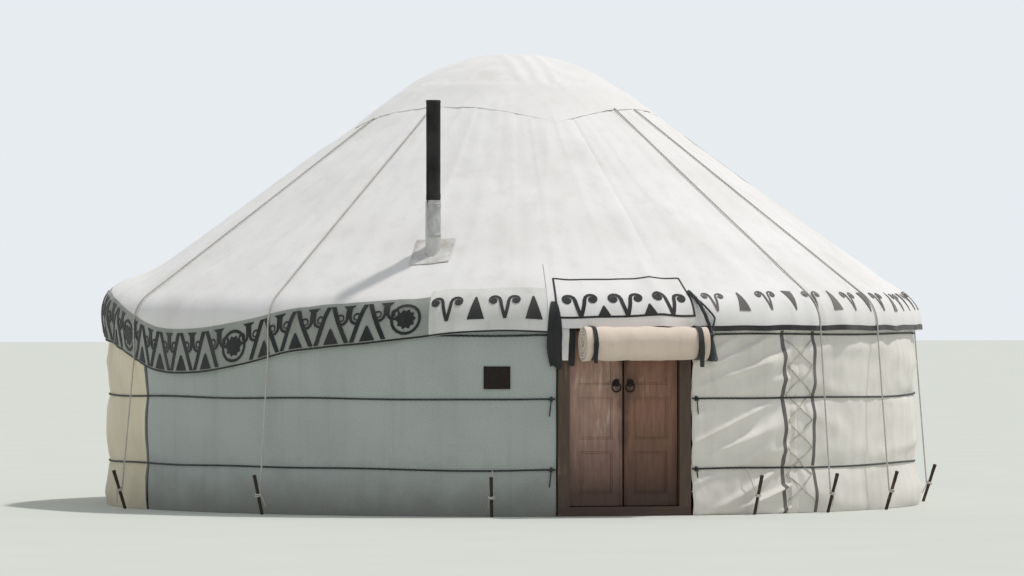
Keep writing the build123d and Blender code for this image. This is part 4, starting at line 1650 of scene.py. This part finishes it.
left_tie, right_tie = tie_places
straps = [
    strap_loop("strap", left_tie, 0.036),
    strap_loop("strap", right_tie + 0.02, 0.044),
    strap_tail("strap", -0.412, 0.046, 1.128, strap_top, behind_roll, 0.010),
    strap_tail("strap", right_tie + 0.022, 0.040, 1.120, 1.300, before_roll, 0.012),
    strap_tail("strap", left_tie - 0.006, 0.034, 1.150, 1.300, before_roll, 0.010),
    strap_tail("strap", left_tie, 0.030, 1.30, strap_top, behind_roll, 0.0),
    strap_tail("strap", right_tie, 0.030, 1.30, strap_top, behind_roll, 0.0),
]
belongs(joined("curtain_straps", straps), dark_cloth, nodes=["curtain_ties"])
lining = strap_tail("white_lining", -0.466, lining_width, 1.170, 1.490, 3.1950, 0.020)
belongs(lining, white_canvas)
print("straps and lining made")

# %% [markdown]
# Right of the door two widths of the wall cover are laced together. Each has a dark binding down
# its edge, and a cord crosses to and fro between them. More bindings close the blue width on the
# far left and the seams at the back. They follow the wall's own folds, because they ask the same
# function for places.

# %% Bindings and lacing
binding_width = 0.034
binding_lift = 0.0022
binding_thickness = 0.0025
lace_end = 30.2
lace_radius = 0.005
lace_lift = 0.0045
lace_rise = 0.205
lace_foot = 0.09
lace_inset = 0.45


def on_wall(angle, height, slack, lift):
    """Places on the wall cover, lifted off it."""
    return wall_place(angle, height, slack) + around(angle, lift, 0.0)


def binding(name, angle, slack):
    """A dark strip sewn down the edge of a width of wall cover."""
    piece = flat_cloth(name, binding_width, wall_height, binding_width / 3, 0.008)
    start = angle - math.degrees(binding_width / 2 / wall_radius)

    def place(x, y):
        return on_wall(start + np.degrees(x / wall_radius), y + wall_foot, slack, binding_lift)

    thickened(carried(piece, place), binding_thickness)
    return belongs(smooth(piece), faded_cloth)


def lace(first, last, seed):
    """One cord that runs to and fro between two angles as it climbs."""
    stops = np.arange(7)
    heights = lace_foot + stops * lace_rise
    angles = np.where(stops % 2 == 0, first, last)
    share = np.linspace(0, len(stops) - 1, 160)
    angle = np.interp(share, stops, angles)
    height = np.interp(share, stops, heights) + 0.004 * np.sin(share * 9 + seed)
    crossing = 0.007 * seed * bell((share % 1) - 0.5, 0.12)
    return rope_along("lace", on_wall(angle, height, 1.0, lace_lift + crossing), lace_radius)


binding("binding_right_1", lace_start, 1.0)
binding("binding_right_2", lace_end, 1.0)
binding("binding_left", blue_end, 0.4)
binding("binding_back_right", back_seam, 0.9)
binding("binding_back", 180, 0.75)
lace_left = lace_start + lace_inset
lace_right = lace_end - lace_inset
laces = [lace(lace_left, lace_right, 0), lace(lace_right, lace_left, 1)]
belongs(joined("lacing", laces), pale_rope)

# %% [markdown]
# The girth ropes are made fast at the door posts. Each end is whipped with a few turns and its
# tail hangs down; the turns are the same torus-made hitch as on the pegs, laid on its side.

# %% Rope ends at the door
whipping_radius = 0.0055
rope_end_tail = 0.13
laid_on_side = Matrix.Rotation(math.pi / 2, 4, "X")

rope_ends = []
for height in rope_heights:
    for side in (-1, 1):
        angle = side * (girth_half_gap + 0.55)
        knot = hitch("rope_end", girth_radius * 1.15, whipping_radius, 0.0)
        knot.data.transform(standing_at(angle, girth_ring + 0.002, height) @ laid_on_side)
        rope_ends.append(knot)
        share = np.linspace(0, 1, 14)
        out = girth_ring + 0.014 - 0.004 * share
        hang = around(angle + side * 0.25 * share, out, height - rope_end_tail * share)
        rope_ends.append(rope_along("rope_tail", hang, girth_radius * 0.7))
belongs(joined("girth_rope_ends", rope_ends), dark_rope)

# %% [markdown]
# At the left end of the flap a broad dark strap comes over the eave and hangs free. It is a strip
# that lies on the roof cloth down to the hem and then falls straight, narrower towards both ends.

# %% Eave strap
eave_strap_angle = -9.75
eave_strap_width = 0.108
eave_strap_on_roof = 0.25
eave_strap_hang = 0.255
eave_strap_lift = 0.0125
eave_strap_length = eave_strap_on_roof + eave_strap_hang


def eave_strap_place(x, y):
    """Places on the strap: down the roof cloth, over the hem and then hanging."""
    angle = eave_strap_angle + np.degrees((x - eave_strap_width / 2) / eave_radius)
    below = np.clip(eave_strap_hang - y, 0, None)
    share = below / eave_strap_hang
    above = np.clip((y - eave_strap_hang) / eave_strap_on_roof, 0, 1)
    width_share = 1 - 0.22 * share**2 - 0.6 * above**2
    off_middle = angle - eave_strap_angle
    narrowed = eave_strap_angle + off_middle * width_share - 0.16 * np.sin(4 * share)
    points = on_roof(narrowed, np.clip(y - eave_strap_hang, 0, None), eave_strap_lift)
    points[:, 2] -= below * (1 + 0.05 * np.sin(off_middle * 3))
    sway = 0.010 * np.sin(below * 22) * share + 0.006 * share * np.cos(off_middle * 2.6)
    return points + around(narrowed, sway + 0.004 * share, 0.0)


eave_strap = flat_cloth("eave_strap", eave_strap_width, eave_strap_length, 0.014, 0.012)
carried(eave_strap, eave_strap_place)
belongs(smooth(thickened(eave_strap, strap_thickness)), dark_cloth)
print("strap", round(eave_strap_length, 2), "m long")

# %% [markdown]
# At the right end of the flap hangs a tassel of black wool on two cords. It starts as a cylinder
# that is cut into rings and spread towards its foot, with a waist where it is bound and grooves
# between the strands. The stove pipe and its collar are cut the same way, so a helper does it.

# %% Tassel
tassel_angle = 11.75
tassel_top = 1.372
tassel_length = 0.205
tassel_waist = 0.013
tassel_foot_radius = 0.050
tassel_out = 0.046
tassel_sides = 36
thick_cord = 0.015
thin_cord = 0.008


def ring_cuts(piece, heights):
    """Cuts an upright piece all round at heights, so that it has rings of points to shape."""
    opened(piece)
    for height in heights:
        bpy.ops.mesh.select_all(action="SELECT")
        bpy.ops.mesh.bisect(plane_co=(0, 0, float(height)), plane_no=(0, 0, 1))
    closed()


def tassel_head():
    """The tassel itself, hanging down from the origin."""
    bpy.ops.mesh.primitive_cylinder_add(
        vertices=tassel_sides, radius=1.0, depth=1.0, location=(0, 0, -0.5)
    )
    head = bpy.context.object
    bpy.ops.object.transform_apply(location=True)
    ring_cuts(head, -np.linspace(0.06, 0.94, 14))
    points = points_of(head)
    down = -points[:, 2]
    turn = np.arctan2(points[:, 1], points[:, 0])
    waist = tassel_waist + 0.012 * bell(down - 0.07, 0.06) - 0.004 * bell(down - 0.17, 0.03)
    spread = waist + (tassel_foot_radius - tassel_waist) * np.clip((down - 0.18) / 0.82, 0, 1) ** 0.8
    grooves = 1 - 0.10 * (0.5 + 0.5 * np.cos(12 * turn + 3 * down)) * (down > 0.2)
    points[:, :2] *= (spread * grooves)[:, None]
    points[:, 2] *= tassel_length * (1 - 0.04 * np.cos(5 * turn) * (down > 0.9))
    set_points(head, points)
    return head


head = tassel_head()
head.data.transform(standing_at(tassel_angle, eave_radius + tassel_out, tassel_top))
share = np.linspace(0, 1, 40)
cord_end = around([tassel_angle], eave_radius + tassel_out, tassel_top - 0.010)
over_eave = on_roof(tassel_angle - 1.9 * (1 - share), 0.34 * (1 - share), 0.020 + 0.014 * share)
crossing = on_roof(tassel_angle + 0.9 - 2.6 * share, 0.10 + 0.20 * share, 0.012)
tassel_parts = [
    head,
    rope_along("tassel_cord", np.concatenate([over_eave, cord_end]), thick_cord),
    rope_along("tassel_cord", np.concatenate([crossing[::-1], cord_end]), thin_cord),
]
belongs(smooth(joined("tassel", tassel_parts), 60), dark_rope)
print("tassel", tassel_length, "m long")

# %% [markdown]
# The stove pipe is sheet steel, bent round, locked along a seam and stiffened with beads. A bare
# cylinder has none of that. So an open cylinder is cut into rings, the rings at the beads are
# pushed out, Solidify gives the sheet its thickness, and a folded strip becomes the seam.

# %% Stove pipe
pipe_vertices = 40
pipe_radius = (pipe_high.x - pipe_low.x) / 2
base_low, base_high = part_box("pipe_base")
base_radius = (base_high.x - base_low.x) / 2
pipe_beads = (2.400, 2.418, 3.126)
base_beads = (2.352, 2.334, 2.120)
pipe_seam_turn = 205
base_seam_turn = 160
sheet_wall = 0.0015
bead_height = 0.0032
bead_width = 0.004
dent_depth = 0.0009
seam_fold = (0.004, 0.011)
fold_edge = 0.0012


def folded_seam(radius, low, high, turn):
    """A folded strip up the outside of a tube on the origin."""
    bpy.ops.mesh.primitive_cube_add(size=1)
    seam = bpy.context.object
    size = (*seam_fold, high - low - 0.012)
    set_points(seam, points_of(seam) * size + (radius + 0.001, 0, (low + high) / 2))
    modified(seam, "BEVEL", width=fold_edge, segments=2)
    seam.data.transform(Matrix.Rotation(math.radians(turn), 4, "Z"))
    return seam


def sheet_tube(name, radius, low, high, beads, seam_turn):
    """A seamed tube of sheet metal, standing on the pipe's centre line."""
    bpy.ops.mesh.primitive_cylinder_add(
        vertices=pipe_vertices, radius=radius, depth=high - low, end_fill_type="NOTHING"
    )
    tube = bpy.context.object
    tube.data.transform(Matrix.Translation((0, 0, (low + high) / 2)))
    cuts = [bead + bead_width * step for bead in beads for step in (-2, -1, 0, 1, 2)]
    ring_cuts(tube, cuts + list(np.arange(low + 0.05, high, 0.08)))
    points = points_of(tube)
    swell = sum(bell(points[:, 2] - bead, bead_width) for bead in beads) * bead_height
    swell -= dent_depth * np.clip(ripples(points, 81, 0.12), 0, 1)
    points[:, :2] *= (1 + swell / radius)[:, None]
    set_points(tube, points)
    thickened(tube, sheet_wall)
    tube = joined(name, [tube, folded_seam(radius, low, high, seam_turn)])
    tube.data.transform(Matrix.Translation((pipe_x, pipe_y, 0)))
    return smooth(tube, 35)


pipe = sheet_tube("smoke_pipe", pipe_radius, pipe_low.z, pipe_high.z, pipe_beads, pipe_seam_turn)
belongs(pipe, sooted_steel, nodes=["stove_pipe"])
foot = sheet_tube("pipe_foot", base_radius, base_low.z, base_high.z, base_beads, base_seam_turn)
belongs(foot, zinc_steel, nodes=["pipe_base"])

# %% [markdown]
# Where the pipe comes through, a square of sheet metal lies on the cloth with a collar that
# flares out at its foot. The square is cut and carried as cloth is, so it follows the roof.

# %% Flashing
flashing_size = 0.30
flashing_lift = 0.004
flashing_step = 0.0125
flashing_hole = 0.052
flashing_thickness = 0.0016
collar_radius = base_radius + 0.0022
collar_flare = 0.022
collar_thickness = 0.0012
collar_cuts = (-0.42, -0.34, -0.26, -0.18, 0.44)
collar_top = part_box("pipe_flashing")[1].z
pipe_angle = math.degrees(math.atan2(pipe_x, -pipe_y))
pipe_reach = math.hypot(pipe_x, pipe_y)
half_sheet = flashing_size / 2


def on_flashing(across, up, lift):
    """Places on the roof cloth round the pipe, from metres across and up the slope."""
    distance = distance_at(pipe_reach) + up
    angle = pipe_angle + np.degrees(across / (pipe_reach - up * math.cos(pitch)))
    return on_roof(angle, distance, lift)


def flared_collar():
    """A collar round the pipe whose foot spreads out over the flashing."""
    bpy.ops.mesh.primitive_cylinder_add(
        vertices=pipe_vertices, radius=1, depth=1, end_fill_type="NOTHING"
    )
    collar = bpy.context.object
    ring_cuts(collar, collar_cuts)
    points = points_of(collar)
    share = points[:, 2] + 0.5
    reach = collar_radius + collar_flare * np.clip(1 - share / 0.32, 0, 1) ** 2
    across = points[:, 0] * reach
    outward = points[:, 1] * reach
    ground = on_flashing(across, outward / math.cos(pitch), flashing_lift + 0.001)[:, 2]
    cosine = math.cos(math.radians(pipe_angle))
    sine = math.sin(math.radians(pipe_angle))
    turned_x = cosine * across - sine * outward
    turned_y = sine * across + cosine * outward
    height = ground + (collar_top - ground) * np.clip(share, 0, 1) ** 1.2
    set_points(collar, xyz(pipe_x + turned_x, pipe_y + turned_y, height))
    return thickened(collar, collar_thickness)


def over_hole(point):
    """Whether a point of the flat flashing lies where the pipe comes through."""
    return math.hypot(point.x - half_sheet, (point.y - half_sheet) * 0.81) < flashing_hole


sheet = flat_cloth("flashing_sheet", flashing_size, flashing_size, flashing_step)
cut_away(sheet, over_hole)
carried(sheet, lambda x, y: on_flashing(x - half_sheet, y - half_sheet, flashing_lift))
thickened(sheet, flashing_thickness)
collar = flared_collar()
print("the pipe comes through", round(pipe_reach, 3), "m from the middle")

# %% [markdown]
# A rivet is half a sphere, pressed a little flat, and its copies go round the square's edge. Sheet,
# collar and rivets are then one piece.

# %% Rivets
rivet_inset = 0.014
rivet_radius = 0.006
rivets_in_row = 5
dome_height = 0.55


def rivet(name, radius):
    """A domed head, its flat side on z = 0."""
    bpy.ops.mesh.primitive_uv_sphere_add(segments=10, ring_count=6, radius=radius)
    head = bpy.context.object
    head.name = name
    opened(head)
    bpy.ops.mesh.bisect(plane_co=(0, 0, 0.0001), plane_no=(0, 0, 1), clear_inner=True, use_fill=True)
    closed()
    set_points(head, points_of(head) * (1, 1, dome_height))
    return smooth(head, 50)


sheet_rivet = rivet("rivet", rivet_radius)
sheet_rivets = []
edge_places = np.linspace(rivet_inset - half_sheet, half_sheet - rivet_inset, rivets_in_row)
lean = Matrix.Rotation(math.radians(pipe_angle), 4, "Z") @ Matrix.Rotation(pitch, 4, "X")
for across in edge_places:
    for up in edge_places:
        if max(abs(across), abs(up)) > half_sheet * 0.8:
            spot = Vector(on_flashing(across, up, flashing_lift))
            sheet_rivets.append(copy_of(sheet_rivet, "rivet", Matrix.Translation(spot) @ lean))
bpy.data.objects.remove(sheet_rivet)
flashing = joined("pipe_flashing_sheet", [sheet, collar] + sheet_rivets)
belongs(smooth(flashing, 40), limed_steel, nodes=["pipe_flashing"])
print("flashing with", len(sheet_rivets), "rivets")

# %% [markdown]
# The small dark plate beside the door is bare sheet steel on four nails. A cube at its size has
# its face inset to leave a rim. Then it is buckled a little and its edges are rounded.

# %% Wall plate
plate_low, plate_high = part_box("wall_plate")
plate_angle = -17.4
plate_radius = 3.2300
plate_size = (0.0036, 0.200, plate_high.z - plate_low.z)
plate_rim = 0.010
plate_sink = 0.0012
plate_edge = 0.0008
nail_radius = 0.005
nails_across = 0.086
nails_up = 0.071


def buckled_plate():
    """A plate with a raised rim round the origin, facing +X and a little buckled."""
    bpy.ops.mesh.primitive_cube_add(size=1)
    plate = bpy.context.object
    set_points(plate, points_of(plate) * plate_size)
    select_by_place(plate, lambda point: point.x > 0)
    bpy.ops.mesh.select_mode(type="FACE")
    bpy.ops.mesh.inset(thickness=plate_rim)
    bpy.ops.transform.translate(value=(-plate_sink, 0, 0))
    bpy.ops.mesh.subdivide(number_cuts=6)
    closed()
    points = points_of(plate)
    points[:, 0] += plate_sink * ripples(points, 91, 0.11)
    set_points(plate, points)
    return rounded(plate, plate_edge, 1)


plate_parts = [buckled_plate()]
nail_head = rivet("nail_head", nail_radius)
facing_out = Matrix.Rotation(math.pi / 2, 4, "Y")
for across in (-nails_across, nails_across):
    for up in (-nails_up, nails_up):
        there = Matrix.Translation((plate_size[0] / 2, across, up))
        plate_parts.append(copy_of(nail_head, "plate_nail", there @ facing_out))
plate = joined("bare_plate", plate_parts)
plate.data.transform(standing_at(plate_angle, plate_radius, (plate_low.z + plate_high.z) / 2))
belongs(smooth(plate, 30), black_iron, nodes=["wall_plate"])

# %% [markdown]
# The two door leaves are the frame's own solids. A joiner would fit raised panels in their
# recesses, with a bead round each. Both start as primitives, inset and pulled out.

# %% Panels of the door
leaf_low, leaf_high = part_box("door_leaf_right")
leaf_front = leaf_low.y
stile = 0.078
rail = 0.090
recess = 0.009
panel_rows = 3
panel_height = (leaf_high.z - leaf_low.z - (panel_rows + 1) * rail) / panel_rows
panel_width = leaf_high.x - leaf_low.x - 2 * stile
panel_middle = (leaf_low.x + leaf_high.x) / 2
field_gap = 0.026
field_thickness = 0.0025
field_slope = 0.032
field_rise = 0.0042
bead_gap = 0.002
bead_across = 0.011
bead_depth = 0.0065
panel_edge = 0.0012


def raised_field(width, height):
    """A panel whose middle stands up from sloping edges, in the plane y = 0."""
    bpy.ops.mesh.primitive_cube_add(size=1)
    field = bpy.context.object
    size = (width, field_thickness, height)
    set_points(field, points_of(field) * size - (0, field_thickness / 2, 0))
    select_by_place(field, lambda point: point.y < -field_thickness * 0.8)
    bpy.ops.mesh.select_mode(type="FACE")
    bpy.ops.mesh.inset(thickness=field_slope)
    bpy.ops.transform.translate(value=(0, -field_rise, 0))
    bpy.ops.mesh.inset(thickness=0.003)
    closed()
    return field


def bead_frame(width, height):
    """A rounded bead that runs round inside a recess, in the plane y = 0."""
    bpy.ops.mesh.primitive_plane_add(size=1)
    bead = bpy.context.object
    across, up, level = points_of(bead).T
    set_points(bead, xyz(across * width, level, up * height))
    bpy.ops.object.mode_set(mode="EDIT")
    bpy.ops.mesh.select_mode(type="FACE")
    bpy.ops.mesh.select_all(action="SELECT")
    bpy.ops.mesh.inset(thickness=bead_across)
    bpy.ops.mesh.delete(type="FACE")
    bpy.ops.mesh.select_all(action="SELECT")
    bpy.ops.mesh.extrude_region_move(TRANSFORM_OT_translate={"value": (0, -bead_depth, 0)})
    bpy.ops.mesh.select_all(action="SELECT")
    bpy.ops.mesh.normals_make_consistent(inside=False)
    closed()
    return bead


print("panels", round(panel_width, 3), "by", round(panel_height, 3), "m")

# %% [markdown]
# One more bead runs down the edge where the leaves meet. All of it is made once, for the right
# leaf, and mirrored for the left, and each set moves with its leaf.

# %% Dressing of both leaves
def meeting_bead():
    """The bead down the edge where the leaves meet."""
    bpy.ops.mesh.primitive_cube_add(size=1)
    bead = bpy.context.object
    size = (0.024, 0.010, leaf_high.z - leaf_low.z - 0.006)
    middle = (leaf_low.x + 0.0135, leaf_front, (leaf_low.z + leaf_high.z) / 2)
    set_points(bead, points_of(bead) * size + middle)
    return rounded(bead, 0.0035)


def mirrored_copy(piece, name):
    """A copy on the other side of the door, its faces turned out again."""
    other = copy_of(piece, name, Matrix.Scale(-1, 4, (1, 0, 0)))
    other.data.flip_normals()
    return other


dressing = []
for row in range(panel_rows):
    middle = leaf_low.z + rail + row * (panel_height + rail) + panel_height / 2
    there = Matrix.Translation((panel_middle, leaf_front + recess, middle))
    field = raised_field(panel_width - field_gap, panel_height - field_gap)
    bead = bead_frame(panel_width - bead_gap, panel_height - bead_gap)
    for part in (field, bead):
        part.data.transform(there)
        dressing.append(rounded(part, panel_edge))
dressing.append(meeting_bead())
right_panels = joined("panels_right", dressing)
left_panels = mirrored_copy(right_panels, "panels_left")
belongs(smooth(right_panels, 30), leaf_wood_right, body="right_leaf")
belongs(smooth(left_panels, 30), leaf_wood_left, body="left_leaf")

# %% [markdown]
# Forged nails hold the pulls outside and the strap hinges inside. They are the same domed head
# again, smaller round the pulls, turned to face out or in.

# %% Nails of the door
pull_x = leaf_low.x + 0.048
pull_height = 1.000
pull_front = leaf_front - 0.003
pull_nail_ring = 0.0215
pull_nail_size = 0.8
hinge_x = (0.270, 0.320, 0.370)
hinge_back = leaf_high.y + 0.004
hinge_middles = (0.250 + 0.020, 1.130 + 0.020)

nail_places = []
for turn in np.radians((45, 135, 225, 315)):
    x = pull_x + pull_nail_ring * math.cos(turn)
    z = pull_height + pull_nail_ring * math.sin(turn)
    facing = Matrix.Translation((x, pull_front, z)) @ Matrix.Rotation(math.pi / 2, 4, "X")
    nail_places.append(facing @ Matrix.Scale(pull_nail_size, 4))
for x in hinge_x:
    for z in hinge_middles:
        there = Matrix.Translation((x, hinge_back, z))
        nail_places.append(there @ Matrix.Rotation(-math.pi / 2, 4, "X"))
door_nails = [copy_of(nail_head, "door_nail", place) for place in nail_places]
bpy.data.objects.remove(nail_head)
right_nails = joined("nails_right", door_nails)
left_nails = mirrored_copy(right_nails, "nails_left")
belongs(right_nails, black_iron, body="right_leaf")
belongs(left_nails, black_iron, body="left_leaf")

# %% [markdown]
# What is left of the frame shows as it is: the door's frame and leaves, the irons, and inside the
# lattice, the poles, the crown ring and its bars, all painted red. They keep their shape and get
# their finish by name.

# %% Finishes of the frame's own pieces
node_finishes = {
    "door_sill": frame_wood_flat,
    "door_lintel": frame_wood_flat,
    "door_jambs": frame_wood,
    "door_leaf_left": leaf_wood_left,
    "door_leaf_right": leaf_wood_right,
    "door_pintles": black_iron,
    "leaf_iron_left": black_iron,
    "leaf_iron_right": black_iron,
    "crown_ring": red_wood,
    "crown_bars": red_wood,
}
for name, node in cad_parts.items():
    finish = node_finishes.get(name)
    if name.startswith("lattice"):
        finish = red_wood
    if name.startswith("roof_poles"):
        finish = pole_wood
    if finish:
        node.data.materials.clear()
        node.data.materials.append(finish)
        print(name, finish.name)
